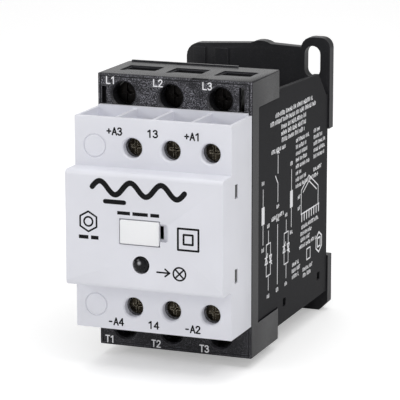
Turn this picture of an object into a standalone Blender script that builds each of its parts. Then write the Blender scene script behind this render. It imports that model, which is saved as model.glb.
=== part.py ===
"""Three-phase solid state relay for a 35 mm rail, as separate solids.

Frame: the origin is on the rail seat, at the rail's centreline. +X is to the right seen
from the front, +Y goes back into the rail and +Z is up. Sizes below are in millimetres,
and the helpers turn them into metres.
"""
import math

import bmesh
import bpy
from mathutils import Matrix, Vector

MM = 0.001
GAP = 0.3                       # running gap kept between neighbouring pieces

# Overall casing
HALF_WIDTH = 22.5               # a standard 45 mm module
BLOCK_FRONT = -66.7             # front face of the black terminal block
BLOCK_REAR = -44.6
BLOCK_TOP = 43.0
BLOCK_BOTTOM = -33.8
BLOCK_WALL = 1.5
TONGUE_FRONT = -61.2            # where the side panels start, inside the C-shaped block
TONGUE_TOP = 35.0
TONGUE_BOTTOM = -24.5
REAR_HALF = 22.1                # the side panels lie 0.4 mm below the block's sides
REAR_WALL = 1.3
REAR_TOP = 37.4
REAR_BOTTOM = -30.4
PLATE_FRONT = -0.2
PLATE_REAR = 3.3

# Front cover
COVER_REAR = BLOCK_FRONT - GAP
COVER_STEP = -82.4              # front of the upper and lower steps
COVER_NOSE = -89.1              # front of the centre section
COVER_TOP = 33.9
COVER_BOTTOM = -24.5
NOSE_TOP = 20.35
NOSE_BOTTOM = -11.3
COVER_WALL = 1.4
NOSE_WALL = 2.0
WELL_DEPTHS = (4.3, 2.9)        # upper and lower wire wells
WELL_FLOOR = 0.8
RIB = 1.0
COVER_LEDGE = 0.6               # the cover's upper rear wall stands above its top edge

# Terminals: columns are X positions, rows are the screws' Z positions
POWER_COLUMNS = (-14.9, -1.0, 13.3)
POWER_ROWS = (37.4, -28.1)
POWER_NAMES = (("l1", "l2", "l3"), ("t1", "t2", "t3"))
CONTROL_COLUMNS = (-5.8, 5.2, 16.5)
CONTROL_ROWS = (25.9, -17.9)
CONTROL_NAMES = (("a3", "13", "a1"), ("a4", "14", "a2"))
BLANK_COLUMN = -16.7
WINDOW_CENTRES = (-13.65, -0.05, 14.05)
WINDOW_WIDTH = 8.9
WINDOW_FRONT = -56.75
WINDOW_REAR = -52.4

# Each kind of terminal, from the screw head back to the rear of its cage
POWER = {
    "head_front": -63.2, "head_rear": -62.1, "head_r": 3.0, "shank_r": 1.75,
    "cage_front": -58.8, "cage_wall": 0.9, "bar_front": -57.6, "bar_rear": -56.8,
    "cage_rear": -51.2, "cage_half": 4.3, "cage_side": 0.8, "cage_height": 7.2,
    "slot": 0.8, "slot_depth": 0.6,
}
CONTROL = {
    "head_front": -79.5, "head_rear": -78.4, "head_r": 2.4, "shank_r": 1.5,
    "cage_front": -75.1, "cage_wall": 1.2, "bar_front": -73.6, "bar_rear": -72.6,
    "cage_rear": -67.4, "cage_half": 3.3, "cage_side": 0.7, "cage_height": 5.0,
    "slot": 0.7, "slot_depth": 0.6,
}
POWER_HOLE_R = 3.4
CONTROL_HOLE_R = 2.75
CONTROL_SLEEVE = 0.55           # wall of the short tube behind each control driver hole
LATCH_ROWS = (15.6, -7.45)      # heights of the latch arms that hold the cover to the block
LATCH_HALF = 1.95               # half height of the slots that they snap into
LATCH_FRONT = -79.9
LATCH_REAR = -77.8
SIDE_WALL = 0.9                 # the cover's side walls
TURN_STEPS = 28

# Rail recess and clip
RECESS_TOP = 18.6
RECESS_BOTTOM = -19.7
HOOK_REACH = 15.9               # how near the centreline hook and clip come
SEAT_HALF = 15.6                # half height of the raised seat that the rail lies on
SEAT_RELIEF = 0.4               # how far the web lies back from the seat beyond it
LIP_GAP = 1.25                  # room for the rail's lip behind the seat
PLATE_BOTTOM = -36.7

# Power electronics
SINK_TOP = 30.8
SINK_BOTTOM = -29.6
SINK_BASE_FRONT = -33.0
SINK_BASE_REAR = -29.0
FIN_REAR = -4.0
MODULE_FRONT = -40.5
MODULE_TOP = 17.0
MODULE_BOTTOM = -14.5
BUSBAR_LEVELS = (12.5, -10.0)
MODULE_SCREW_Z = 1.0
SIDES = (("left", -10.5), ("right", 10.5))

for stale in list(bpy.data.objects):
    bpy.data.objects.remove(stale, do_unlink=True)


def make_collection(name):
    """Return a fresh collection linked to the scene."""
    collection = bpy.data.collections.new(name)
    bpy.context.scene.collection.children.link(collection)
    return collection


PARTS = make_collection("solid_state_relay")
CUTTERS = make_collection("cutters")


def material(name, color, roughness, metallic=0.0):
    """Return a Principled material."""
    made = bpy.data.materials.new(name)
    made.use_nodes = True
    shader = made.node_tree.nodes["Principled BSDF"]
    shader.inputs["Base Color"].default_value = (*color, 1.0)
    shader.inputs["Roughness"].default_value = roughness
    shader.inputs["Metallic"].default_value = metallic
    return made


BLACK_PLASTIC = material("black_plastic", (0.030, 0.030, 0.033), 0.55)
GREY_PLASTIC = material("light_grey_plastic", (0.66, 0.67, 0.72), 0.45)
WHITE_PLASTIC = material("white_marker_plastic", (0.85, 0.85, 0.86), 0.4)
SMOKE_LENS = material("smoke_lens", (0.05, 0.05, 0.055), 0.12)
LED_GREEN = material("led_epoxy", (0.25, 0.6, 0.25), 0.2)
DARK_STEEL = material("blackened_steel", (0.10, 0.10, 0.10), 0.4, 1.0)
ZINC_STEEL = material("zinc_plated_steel", (0.62, 0.62, 0.60), 0.35, 1.0)
SPRING_STEEL = material("spring_steel", (0.50, 0.50, 0.50), 0.3, 1.0)
TINNED_COPPER = material("tinned_copper", (0.72, 0.66, 0.55), 0.35, 1.0)
BRASS = material("brass", (0.72, 0.56, 0.28), 0.35, 1.0)
ALUMINIUM = material("extruded_aluminium", (0.70, 0.71, 0.72), 0.4, 1.0)
THERMAL_RUBBER = material("thermal_rubber", (0.35, 0.38, 0.42), 0.8)
EPOXY = material("moulding_epoxy", (0.035, 0.035, 0.035), 0.6)
CIRCUIT_BOARD = material("circuit_board", (0.03, 0.20, 0.09), 0.5)
RELAY_CASE = material("relay_case", (0.05, 0.13, 0.35), 0.4)
VARISTOR_COAT = material("varistor_coating", (0.08, 0.20, 0.48), 0.5)


def mm(x, y, z):
    """Return a millimetre position as a vector in metres."""
    return Vector((x, y, z)) * MM


def finish(name, mesh, location, paint):
    """Make an object from a mesh: a part when it has a material, else a cutter."""
    obj = bpy.data.objects.new(name, mesh)
    obj.location = location
    if paint is None:
        CUTTERS.objects.link(obj)
        obj.hide_render = True
        obj.display_type = "WIRE"
    else:
        PARTS.objects.link(obj)
        mesh.materials.append(paint)
    return obj


def block(name, low, high, paint=None):
    """Make a box between two corners given in millimetres."""
    low = mm(*low)
    high = mm(*high)
    shape = bmesh.new()
    bmesh.ops.create_cube(shape, size=1.0, matrix=Matrix.Diagonal((*(high - low), 1.0)))
    mesh = bpy.data.meshes.new(name)
    shape.to_mesh(mesh)
    shape.free()
    return finish(name, mesh, (low + high) / 2, paint)


def rod(name, x, z, y_range, radii, paint=None, sides=24):
    """Make a round rod or cone along Y; radii are at its front and rear ends."""
    front, rear = y_range
    shape = bmesh.new()
    turn = Matrix.Rotation(math.radians(90), 4, "X")
    bmesh.ops.create_cone(
        shape, cap_ends=True, segments=sides, radius1=radii[1] * MM, radius2=radii[0] * MM,
        depth=(rear - front) * MM, matrix=turn)
    mesh = bpy.data.meshes.new(name)
    shape.to_mesh(mesh)
    shape.free()
    mesh.shade_smooth()
    mesh.set_sharp_from_angle(angle=math.radians(40))
    return finish(name, mesh, mm(x, (front + rear) / 2, z), paint)


def arc(centre, radius, start, end, steps=6):
    """Return points along an arc, angles in degrees."""
    points = []
    for step in range(steps + 1):
        angle = math.radians(start + (end - start) * step / steps)
        points.append((centre[0] + radius * math.cos(angle), centre[1] + radius * math.sin(angle)))
    return points


def rounded(low, high, radius, steps=4):
    """Return the outline of a rectangle with round corners."""
    left, bottom = low[0] + radius, low[1] + radius
    right, top = high[0] - radius, high[1] - radius
    corners = ((right, bottom, -90), (right, top, 0), (left, top, 90), (left, bottom, 180))
    outline = []
    for u, v, start in corners:
        outline += arc((u, v), radius, start, start + 90, steps)
    return outline


# Local X, Y and Z of a flat outline, for outlines drawn across each axis
OUTLINE_AXES = {
    "X": ((0, 1, 0), (0, 0, 1), (1, 0, 0)),
    "Y": ((1, 0, 0), (0, 0, 1), (0, -1, 0)),
    "Z": ((1, 0, 0), (0, 1, 0), (0, 0, 1)),
}


def slab(name, outline, axis, span, paint=None):
    """Extrude a flat outline along an axis between two millimetre positions.

    The outline is in (Y, Z) for axis X, (X, Z) for axis Y and (X, Y) for axis Z.
    """
    curve = bpy.data.curves.new(name, "CURVE")
    curve.dimensions = "2D"
    curve.fill_mode = "BOTH"
    curve.extrude = (span[1] - span[0]) * MM / 2
    spline = curve.splines.new("POLY")
    spline.points.add(len(outline) - 1)
    for point, (u, v) in zip(spline.points, outline):
        point.co = (u * MM, v * MM, 0.0, 1.0)
    spline.use_cyclic_u = True
    flat = bpy.data.objects.new(name, curve)
    CUTTERS.objects.link(flat)
    graph = bpy.context.evaluated_depsgraph_get()
    mesh = bpy.data.meshes.new_from_object(flat.evaluated_get(graph))
    bpy.data.objects.remove(flat, do_unlink=True)
    bpy.data.curves.remove(curve)
    turn = Matrix(OUTLINE_AXES[axis]).transposed().to_4x4()
    shape = bmesh.new()
    shape.from_mesh(mesh)
    shape.transform(turn)
    bmesh.ops.remove_doubles(shape, verts=shape.verts, dist=0.00001)
    bmesh.ops.recalc_face_normals(shape, faces=shape.faces)
    shape.to_mesh(mesh)
    shape.free()
    middle = Vector((0.0, 0.0, 0.0))
    middle["XYZ".index(axis)] = (span[0] + span[1]) * MM / 2
    return finish(name, mesh, middle, paint)


def strip(name, path, thickness, x_span, paint):
    """Bend a flat metal strip along a path in (Y, Z), wide across X."""
    mesh = bpy.data.meshes.new(name)
    shape = bmesh.new()
    rows = [[shape.verts.new(mm(x, y, z)) for x in x_span] for y, z in path]
    for first, second in zip(rows, rows[1:]):
        shape.faces.new((first[0], first[1], second[1], second[0]))
    shape.to_mesh(mesh)
    shape.free()
    obj = finish(name, mesh, (0.0, 0.0, 0.0), paint)
    wall = obj.modifiers.new("thickness", "SOLIDIFY")
    wall.thickness = thickness * MM
    wall.offset = 0.0
    wall.use_even_offset = True
    return obj


def turned(name, front, profile, paint=None):
    """Turn a profile of (radius, distance back from the front) about a line along Y."""
    mesh = bpy.data.meshes.new(name)
    shape = bmesh.new()
    verts = [shape.verts.new(mm(radius, 0.0, -back)) for radius, back in profile]
    for first, second in zip(verts, verts[1:]):
        shape.edges.new((first, second))
    shape.to_mesh(mesh)
    shape.free()
    obj = finish(name, mesh, mm(*front), paint)
    obj.rotation_euler = (math.radians(90), 0.0, 0.0)
    turn = obj.modifiers.new("turn", "SCREW")
    turn.axis = "Z"
    turn.steps = TURN_STEPS
    turn.render_steps = TURN_STEPS
    turn.use_merge_vertices = True
    turn.merge_threshold = 0.00001
    turn.use_smooth_shade = False
    return obj


def boolean(target, operation, tools):
    """Cut or join a group of tools onto a target in one exact step."""
    group = bpy.data.collections.new(f"{target.name}_tools")
    CUTTERS.children.link(group)
    for tool in tools:
        CUTTERS.objects.unlink(tool)
        group.objects.link(tool)
    modifier = target.modifiers.new(operation.lower(), "BOOLEAN")
    modifier.operation = operation
    modifier.solver = "EXACT"
    modifier.operand_type = "COLLECTION"
    modifier.collection = group


def cut(target, *tools):
    boolean(target, "DIFFERENCE", tools)


def join(target, *tools):
    boolean(target, "UNION", tools)


def window_spans():
    """Return the X spans of the wire windows above and below the power terminals."""
    return [(centre - WINDOW_WIDTH / 2, centre + WINDOW_WIDTH / 2) for centre in WINDOW_CENTRES]


def terminal_housing():
    """Black shell with the power terminals, C-shaped seen from the side."""
    body = block("terminal_housing", (-HALF_WIDTH, BLOCK_FRONT, BLOCK_BOTTOM),
                 (HALF_WIDTH, BLOCK_REAR, BLOCK_TOP), BLACK_PLASTIC)
    edge = body.modifiers.new("moulded_edge", "BEVEL")
    edge.width = 0.35 * MM
    edge.segments = 2
    inner = HALF_WIDTH - BLOCK_WALL
    cut(body,
        block("housing_cavity", (-inner, BLOCK_FRONT + BLOCK_WALL, BLOCK_BOTTOM + BLOCK_WALL),
              (inner, BLOCK_REAR - BLOCK_WALL, BLOCK_TOP - BLOCK_WALL)),
        block("housing_c_opening", (-30, TONGUE_FRONT - GAP, TONGUE_BOTTOM - GAP),
              (30, BLOCK_REAR + 6, TONGUE_TOP + GAP)),
        block("board_window", (-19, BLOCK_FRONT - 2, -12), (19, BLOCK_FRONT + 4, 19)))
    added = [block("rear_ridge", (-HALF_WIDTH + 1.2, BLOCK_REAR - 0.9, BLOCK_TOP - 0.6),
                   (10.5, BLOCK_REAR - 0.1, BLOCK_TOP + 0.4))]
    holes = [block("cover_latch_notch", (5.1, BLOCK_FRONT - 1, BLOCK_TOP - 0.5),
                   (9.9, BLOCK_FRONT + 0.8, BLOCK_TOP + 1))]
    for row, z in enumerate(POWER_ROWS):
        sign = 1 if row == 0 else -1
        outer = BLOCK_TOP if row == 0 else BLOCK_BOTTOM
        for column, x in enumerate(POWER_COLUMNS):
            name = POWER_NAMES[row][column]
            sleeve_r = POWER_HOLE_R + 0.9
            added.append(rod(f"sleeve_{name}", x, z, (BLOCK_FRONT + 0.6, POWER["head_rear"]),
                             (sleeve_r, sleeve_r), sides=TURN_STEPS))
            profile = [(0.0, -1.0), (POWER_HOLE_R + 0.5, -1.0), (POWER_HOLE_R + 0.5, 0.0),
                       (POWER_HOLE_R, 0.5), (POWER_HOLE_R, 6.0), (0.0, 6.0)]
            holes.append(turned(f"driver_hole_{name}", (x, BLOCK_FRONT, z), profile))
        for index, x in enumerate((-6.85, 6.65)):
            low, high = sorted((z - sign * 5.5, outer - sign * (BLOCK_WALL - 0.2)))
            added.append(block(f"divider_{row}_{index}", (x - 0.6, BLOCK_FRONT + 1, low),
                               (x + 0.6, BLOCK_REAR - 0.7, high)))
        for index, (left, right) in enumerate(window_spans()):
            low, high = sorted((outer + sign * 2, outer - sign * 3))
            holes.append(block(f"window_{row}_{index}", (left, WINDOW_FRONT, low),
                               (right, WINDOW_REAR, high)))
            low, high = sorted((outer + sign * 3, outer - sign * 0.4))
            holes.append(block(f"window_ramp_{row}_{index}", (left - 0.6, WINDOW_FRONT - 3.6, low),
                               (right + 0.6, WINDOW_REAR + 0.5, high)))
    for side, (left, right, top) in enumerate(((-21.3, -19.9, 39.4), (18.7, 20.3, 41.2))):
        holes.append(block(f"test_slot_{side}", (left, BLOCK_FRONT - 1, 34.6),
                           (right, BLOCK_FRONT + BLOCK_WALL + 0.5, top)))
    holes += face_borders()
    join(body, *added, *latch_arms())
    cut(body, *holes)
    return body


def latch_arms():
    """Return the four arms inside the cover, each with a barb that stands in a side slot."""
    outer = HALF_WIDTH - SIDE_WALL - GAP
    arms = []
    for row, z in enumerate(LATCH_ROWS):
        half = LATCH_HALF - GAP
        for name, side in (("left", -1), ("right", 1)):
            left, right = sorted((side * (outer - 0.9), side * outer))
            arms.append(block(f"latch_arm_{name}_{row}", (left, LATCH_FRONT + GAP, z - half),
                              (right, BLOCK_FRONT + 1.0, z + half)))
            left, right = sorted((side * (outer - 0.5), side * (HALF_WIDTH - 0.15)))
            arms.append(block(f"latch_barb_{name}_{row}", (left, LATCH_FRONT + GAP + 0.01, z - half + 0.01),
                              (right, LATCH_REAR - GAP, z + half - 0.01)))
    return arms


def face_borders():
    """Return the tools for the fine groove round the upper and lower front faces."""
    margin = 0.7
    groove = 0.35
    left = -HALF_WIDTH + margin
    right = HALF_WIDTH - margin
    tools = []
    for name, edge, end in (("upper", BLOCK_TOP - margin, COVER_TOP - 3),
                            ("lower", BLOCK_BOTTOM + margin, COVER_BOTTOM + 3)):
        inward = groove if end > edge else -groove
        low, high = sorted((edge, end))
        for side, start in (("left", left), ("right", right - groove)):
            tools.append(block(f"groove_{name}_{side}", (start, BLOCK_FRONT - 1, low),
                               (start + groove, BLOCK_FRONT + groove, high)))
        low, high = sorted((edge, edge + inward))
        tools.append(block(f"groove_{name}", (left + 0.01, BLOCK_FRONT - 1.1, low),
                           (right - 0.01, BLOCK_FRONT + groove, high)))
    return tools


def rear_housing():
    """Black side panels and cross wall, open above, below and behind for air."""
    rear = PLATE_FRONT - GAP
    outline = [
        (TONGUE_FRONT, TONGUE_BOTTOM), (BLOCK_REAR + GAP, TONGUE_BOTTOM), (BLOCK_REAR + GAP, REAR_BOTTOM),
        (rear, REAR_BOTTOM), (rear, 28.8), (-1.7, 28.8), (-9.3, 36.3), (-43.0, REAR_TOP),
        (BLOCK_REAR + GAP, REAR_TOP), (BLOCK_REAR + GAP, TONGUE_TOP), (TONGUE_FRONT, TONGUE_TOP),
    ]
    body = slab("rear_housing", outline, "X", (-REAR_HALF, REAR_HALF), BLACK_PLASTIC)
    inner = REAR_HALF - REAR_WALL
    cross_rear = BLOCK_REAR + 2.0
    holes = [
        block("front_chamber", (-inner, TONGUE_FRONT - 5, REAR_BOTTOM - 5),
              (inner, BLOCK_REAR + GAP, REAR_TOP + 5)),
        block("air_duct", (-inner, cross_rear, REAR_BOTTOM - 6), (inner, 5, REAR_TOP + 6)),
        block("busbar_opening", (-19.3, BLOCK_REAR - 2, -20), (19.3, cross_rear + 2, 25)),
    ]
    for index, (y, z) in enumerate(((-38.4, -24.6), (-8.0, -24.2))):
        holes.append(block(f"latch_window_{index}", (-30, y - 1.25, z - 1.2), (30, y + 1.25, z + 1.2)))
    cut(body, *holes)
    return body


def cover_profile():
    """Return the cover's stepped outline in (Y, Z)."""
    soft = 1.2
    outline = [(COVER_REAR, COVER_TOP), (COVER_STEP, COVER_TOP), (COVER_STEP, NOSE_TOP)]
    outline += arc((COVER_NOSE + soft, NOSE_TOP - soft), soft, 90, 180, 4)
    outline += arc((COVER_NOSE + soft, NOSE_BOTTOM + soft), soft, 180, 270, 4)
    outline += [(COVER_STEP, NOSE_BOTTOM), (COVER_STEP, COVER_BOTTOM), (COVER_REAR, COVER_BOTTOM)]
    return outline


def hollow_profile():
    """Return the outline of the cover's hollow, between the floors of the wire wells."""
    step = COVER_STEP + COVER_WALL
    nose = COVER_NOSE + NOSE_WALL
    rear = COVER_REAR + 2
    high = NOSE_TOP - COVER_WALL
    low = NOSE_BOTTOM + COVER_WALL
    ceiling = COVER_TOP - WELL_DEPTHS[0] - WELL_FLOOR
    floor = COVER_BOTTOM + WELL_DEPTHS[1] + WELL_FLOOR
    return [(rear, ceiling), (step, ceiling), (step, high), (nose, high), (nose, low), (step, low),
            (step, floor), (rear, floor)]


def front_cover():
    """Light grey cover with stepped front, wire wells, driver holes and marker recess."""
    body = slab("front_cover", cover_profile(), "X", (-HALF_WIDTH, HALF_WIDTH), GREY_PLASTIC)
    edge = body.modifiers.new("moulded_edge", "BEVEL")
    edge.width = 0.45 * MM
    edge.segments = 2
    edge.limit_method = "ANGLE"
    edge.angle_limit = math.radians(50)
    inner = HALF_WIDTH - SIDE_WALL
    well_front = COVER_STEP + 1.2
    well_rear = COVER_REAR - 1.3
    join(body, block("rear_ledge", (-inner, well_rear, COVER_TOP - 1),
                     (inner, COVER_REAR, COVER_TOP + COVER_LEDGE)))
    cut(body, slab("cover_hollow", hollow_profile(), "X", (-inner, inner)))
    edges = (-inner, -10.7, 0.0, 11.0, inner)
    sleeve_r = CONTROL_HOLE_R + CONTROL_SLEEVE
    sleeve_span = (COVER_STEP + COVER_WALL / 2, CONTROL["head_rear"])
    join(body, *[rod(f"sleeve_{row}_{column}", x, z, sleeve_span, (sleeve_r, sleeve_r), sides=TURN_STEPS)
                 for row, z in enumerate(CONTROL_ROWS) for column, x in enumerate(CONTROL_COLUMNS)])
    holes = [
        block("marker_pocket", (-6.9, COVER_NOSE - 1, 1.1), (4.8, COVER_NOSE + 1.1, 8.2)),
        slab("finger_notch", rounded((3.0, 2.6), (7.0, 7.5), 0.8), "Y", (COVER_NOSE - 1, COVER_NOSE + 1.3)),
        block("pry_slot", (4.2, COVER_NOSE + 0.5, 3.1), (5.4, COVER_NOSE + NOSE_WALL + 0.5, 6.7)),
        rod("lens_hole", -0.7, -4.1, (COVER_NOSE - 1, COVER_NOSE + 4), (2.45, 2.45)),
    ]
    for row, z in enumerate(CONTROL_ROWS):
        sign = 1 if row == 0 else -1
        outer = COVER_TOP if row == 0 else COVER_BOTTOM
        for index in range(4):
            left = edges[index] + (RIB / 2 if index else 0.0)
            right = edges[index + 1] - (RIB / 2 if index < 3 else 0.0)
            low, high = sorted((outer - sign * WELL_DEPTHS[row], outer + sign * 2))
            holes.append(block(f"well_{row}_{index}", (left, well_front, low), (right, well_rear, high)))
        for column, x in enumerate(CONTROL_COLUMNS):
            name = CONTROL_NAMES[row][column]
            low, high = sorted((outer - sign * (WELL_DEPTHS[row] + 3), outer - sign * 1))
            holes.append(block(f"wire_hole_{name}", (x - 2.4, CONTROL["bar_rear"] + 0.05, low),
                               (x + 2.4, CONTROL["cage_rear"] - 0.95, high)))
            profile = [(0.0, -1.0), (CONTROL_HOLE_R + 0.4, -1.0), (CONTROL_HOLE_R + 0.4, 0.0),
                       (CONTROL_HOLE_R, 0.4), (CONTROL_HOLE_R, 6.0), (0.0, 6.0)]
            holes.append(turned(f"driver_hole_{name}", (x, COVER_STEP, z), profile))
        ring = [(2.85, -1.0), (3.4, -1.0), (3.4, 0.0), (3.2, 0.3), (3.05, 0.3), (2.85, 0.0), (2.85, -1.0)]
        holes.append(turned(f"knock_out_{row}", (BLANK_COLUMN, COVER_STEP, z), ring))
    for index, z in enumerate(LATCH_ROWS):
        holes.append(block(f"latch_slot_{index}", (-30, LATCH_FRONT, z - LATCH_HALF),
                           (30, LATCH_REAR, z + LATCH_HALF)))
    cut(body, *holes)
    return body


def mounting_base():
    """Black base: web on the rail, ears for panel screws, rail hook and clip guide."""
    left_top = arc((-18.5, 38.0), 4.0, 180, 95, 5)
    bump = arc((1.0, 37.3), 6.4, 120, 60, 6)
    ear_left = arc((17.0, 42.0), 3.5, 180, 90, 5)
    ear_right = arc((19.5, 42.5), 3.0, 90, 0, 5)
    upper = [(HALF_WIDTH, RECESS_TOP), (HALF_WIDTH, 40.0)] + ear_right[::-1] + ear_left[::-1]
    upper += [(13.5, 42.4)] + bump[::-1] + left_top[::-1] + [(-HALF_WIDTH, RECESS_TOP)]
    body = slab("mounting_base", upper, "Y", (PLATE_FRONT, PLATE_REAR), BLACK_PLASTIC)
    lower = [(-HALF_WIDTH, RECESS_BOTTOM), (-HALF_WIDTH, -34.1), (-19.9, PLATE_BOTTOM),
             (19.9, PLATE_BOTTOM), (HALF_WIDTH, -34.1), (HALF_WIDTH, RECESS_BOTTOM)]
    web_half = REAR_HALF - REAR_WALL - GAP
    added = [
        block("web", (-web_half, -3.2, REAR_BOTTOM + 0.6), (web_half, 0.0, 27.5)),
        slab("lower_plate", lower, "Y", (PLATE_FRONT, PLATE_REAR)),
        block("fixed_hook", (-14, LIP_GAP, HOOK_REACH), (14, PLATE_REAR - 0.2, RECESS_TOP + 1)),
    ]
    for index, (left, right) in enumerate(((-20.2, -16.4), (-13.3, -9.2))):
        added.append(block(f"front_pad_{index}", (left, PLATE_FRONT - 0.6, 31),
                           (right, PLATE_FRONT + 1, 40.8)))
    join(body, *added)
    reliefs = ((-SEAT_HALF, RECESS_BOTTOM), (SEAT_HALF, RECESS_TOP))
    cut(body,
        *[block(f"seat_relief_{index}", (-web_half - 1, -SEAT_RELIEF, min(span)),
                (web_half + 1, 0.5, max(span)))
          for index, span in enumerate(reliefs)],
        slab("ear_slot", rounded((14.7, 33.6), (19.5, 42.9), 2.39, 6), "Y", (-5, 8)),
        slab("foot_slot", rounded((-18.6, -45), (-13.8, -30.6), 2.39, 6), "Y", (PLATE_FRONT - 1, 8)),
        block("clip_channel", (-6.3, 0.9, PLATE_BOTTOM - 2), (6.3, 2.5, RECESS_BOTTOM + 2)),
        block("clip_mouth", (-4.5, 2.0, PLATE_BOTTOM - 3), (4.5, 6, RECESS_BOTTOM + 3)))
    join(body, block("spring_peg", (-1.3, 0.7, -31.8), (1.3, 3.0, -30.2)))
    return body


def rail_clip():
    """Black sliding clip that locks the lower lip of the rail."""
    bottom = PLATE_BOTTOM + 0.6
    body = block("rail_clip", (-6.0, 1.2, bottom), (6.0, 2.2, -HOOK_REACH), BLACK_PLASTIC)
    join(body, block("clip_spine", (-4.2, 1.9, bottom), (4.2, 3.1, -HOOK_REACH)))
    lead = [(0.5, -13.9), (4.5, -13.9), (4.5, -18.6), (3.1, -17.4), (1.2, -15.6)]
    cut(body,
        block("spring_window", (-1.6, 0, -32.1), (1.6, 5, -22.0)),
        block("pull_slot", (-2.6, 0, -35.3), (2.6, 5, -33.9)),
        slab("clip_lead", lead, "X", (-10, 10)))
    return body


def rail_clip_spring():
    """Coil spring between the base's peg and the clip's window."""
    turns = 5
    points_per_turn = 12
    coil_radius = 0.82
    wire_radius = 0.17
    low = -29.9 + wire_radius
    high = -22.3 - wire_radius
    count = turns * points_per_turn + 1
    curve = bpy.data.curves.new("rail_clip_spring", "CURVE")
    curve.dimensions = "3D"
    curve.bevel_depth = wire_radius * MM
    curve.bevel_resolution = 1
    curve.use_fill_caps = True
    spline = curve.splines.new("POLY")
    spline.points.add(count - 1)
    for index, point in enumerate(spline.points):
        angle = 2 * math.pi * index / points_per_turn
        height = (high - low) * index / (count - 1)
        point.co = (*mm(coil_radius * math.cos(angle), coil_radius * math.sin(angle), height), 1.0)
    curve.materials.append(SPRING_STEEL)
    obj = bpy.data.objects.new("rail_clip_spring", curve)
    obj.location = mm(0, 2.15, low)
    PARTS.objects.link(obj)
    return obj


def heatsink():
    """Extruded aluminium heat sink with vertical fins."""
    half = 19.6
    fins = 11
    fin = 1.2
    pitch = (2 * half - fin) / (fins - 1)
    outline = [(-half, SINK_BASE_FRONT), (half, SINK_BASE_FRONT)]
    for index in range(fins):
        right = half - index * pitch
        outline += [(right, FIN_REAR), (right - fin, FIN_REAR)]
        if index < fins - 1:
            outline += [(right - fin, SINK_BASE_REAR), (right - pitch, SINK_BASE_REAR)]
    body = slab("heatsink", outline, "Z", (SINK_BOTTOM, SINK_TOP), ALUMINIUM)
    depth = (SINK_BASE_FRONT - 1, SINK_BASE_FRONT + 3.4)
    cut(body, *[rod(f"sink_hole_{name}", x, MODULE_SCREW_Z, depth, (1.75, 1.75), sides=16)
                for name, x in SIDES])
    return body


def power_stack():
    """Thermal pad, two thyristor modules and the screws that clamp them."""
    pad = block("thermal_pad", (-19.3, SINK_BASE_FRONT - 0.8, MODULE_BOTTOM),
                (19.3, SINK_BASE_FRONT - GAP, MODULE_TOP), THERMAL_RUBBER)
    for name, x in SIDES:
        module = block(f"thyristor_module_{name}", (x - 8.3, MODULE_FRONT, MODULE_BOTTOM),
                       (x + 8.3, SINK_BASE_FRONT - 0.8 - GAP, MODULE_TOP), EPOXY)
        cut(module, rod(f"module_hole_{name}", x, MODULE_SCREW_Z, (MODULE_FRONT - 2, SINK_BASE_FRONT),
                        (1.8, 1.8), sides=16))
        profile = [(0.0, 0.0), (2.8, 0.0), (2.8, 1.8), (1.5, 1.8), (1.5, 10.0), (0.0, 10.0)]
        turned(f"module_screw_{name}", (x, MODULE_FRONT - 1.8 - GAP, MODULE_SCREW_Z), profile, ZINC_STEEL)
    depth = (SINK_BASE_FRONT - 2, SINK_BASE_FRONT + 1)
    cut(pad, *[rod(f"pad_hole_{name}", x, MODULE_SCREW_Z, depth, (1.8, 1.8), sides=16) for name, x in SIDES])


def terminal(kind, name, x, z, screw_paint, cage_paint):
    """Make one captive clamp screw and the wire cage that it draws forward."""
    head = kind["head_rear"] - kind["head_front"]
    tip = kind["bar_front"] - GAP - kind["head_front"]
    chamfer = 0.3
    profile = [(0.0, 0.0), (kind["head_r"] - chamfer, 0.0), (kind["head_r"], chamfer), (kind["head_r"], head),
               (kind["shank_r"], head), (kind["shank_r"], tip - chamfer),
               (kind["shank_r"] - chamfer, tip), (0.0, tip)]
    screw = turned(f"{name}_screw", (x, kind["head_front"], z), profile, screw_paint)
    reach = kind["head_r"] + 1
    cut(screw, block(f"slot_{name}", (x - kind["slot"] / 2, kind["head_front"] - 1, z - reach),
                     (x + kind["slot"] / 2, kind["head_front"] + kind["slot_depth"], z + reach)))
    half = kind["cage_half"]
    tall = kind["cage_height"] / 2
    cage = block(f"{name}_cage", (x - half, kind["cage_front"], z - tall),
                 (x + half, kind["cage_rear"], z + tall), cage_paint)
    inner = half - kind["cage_side"]
    cut(cage, block(f"cage_passage_{name}", (x - inner, kind["cage_front"] + kind["cage_wall"], z - tall - 1),
                    (x + inner, kind["cage_rear"] - 1.0, z + tall + 1)))
    cut(cage, rod(f"cage_thread_{name}", x, z, (kind["cage_front"] - 1, kind["bar_front"] + 0.5),
                  (kind["shank_r"] + 0.2, kind["shank_r"] + 0.2), sides=20))


def power_terminals():
    """Six power terminals with their busbars down to the modules."""
    bar_y = (POWER["bar_front"] + POWER["bar_rear"]) / 2
    thick = POWER["bar_rear"] - POWER["bar_front"]
    for row, z in enumerate(POWER_ROWS):
        sign = 1 if row == 0 else -1
        for column, x in enumerate(POWER_COLUMNS):
            name = POWER_NAMES[row][column]
            terminal(POWER, name, x, z, DARK_STEEL, ZINC_STEEL)
            if column == 1:
                continue
            level = BUSBAR_LEVELS[row]
            foot = MODULE_FRONT - GAP - thick / 2
            path = [(bar_y, z + sign * 3.2), (bar_y, level), (foot, level), (foot, level - sign * 5)]
            width = 3.0
            strip(f"{name}_busbar", path, thick, (x - width, x + width), TINNED_COPPER)
    x = POWER_COLUMNS[1]
    block("l2_t2_busbar", (x - 3.0, POWER["bar_front"], POWER_ROWS[1] - 3.2),
          (x + 3.0, POWER["bar_rear"], POWER_ROWS[0] + 3.2), TINNED_COPPER)


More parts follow.
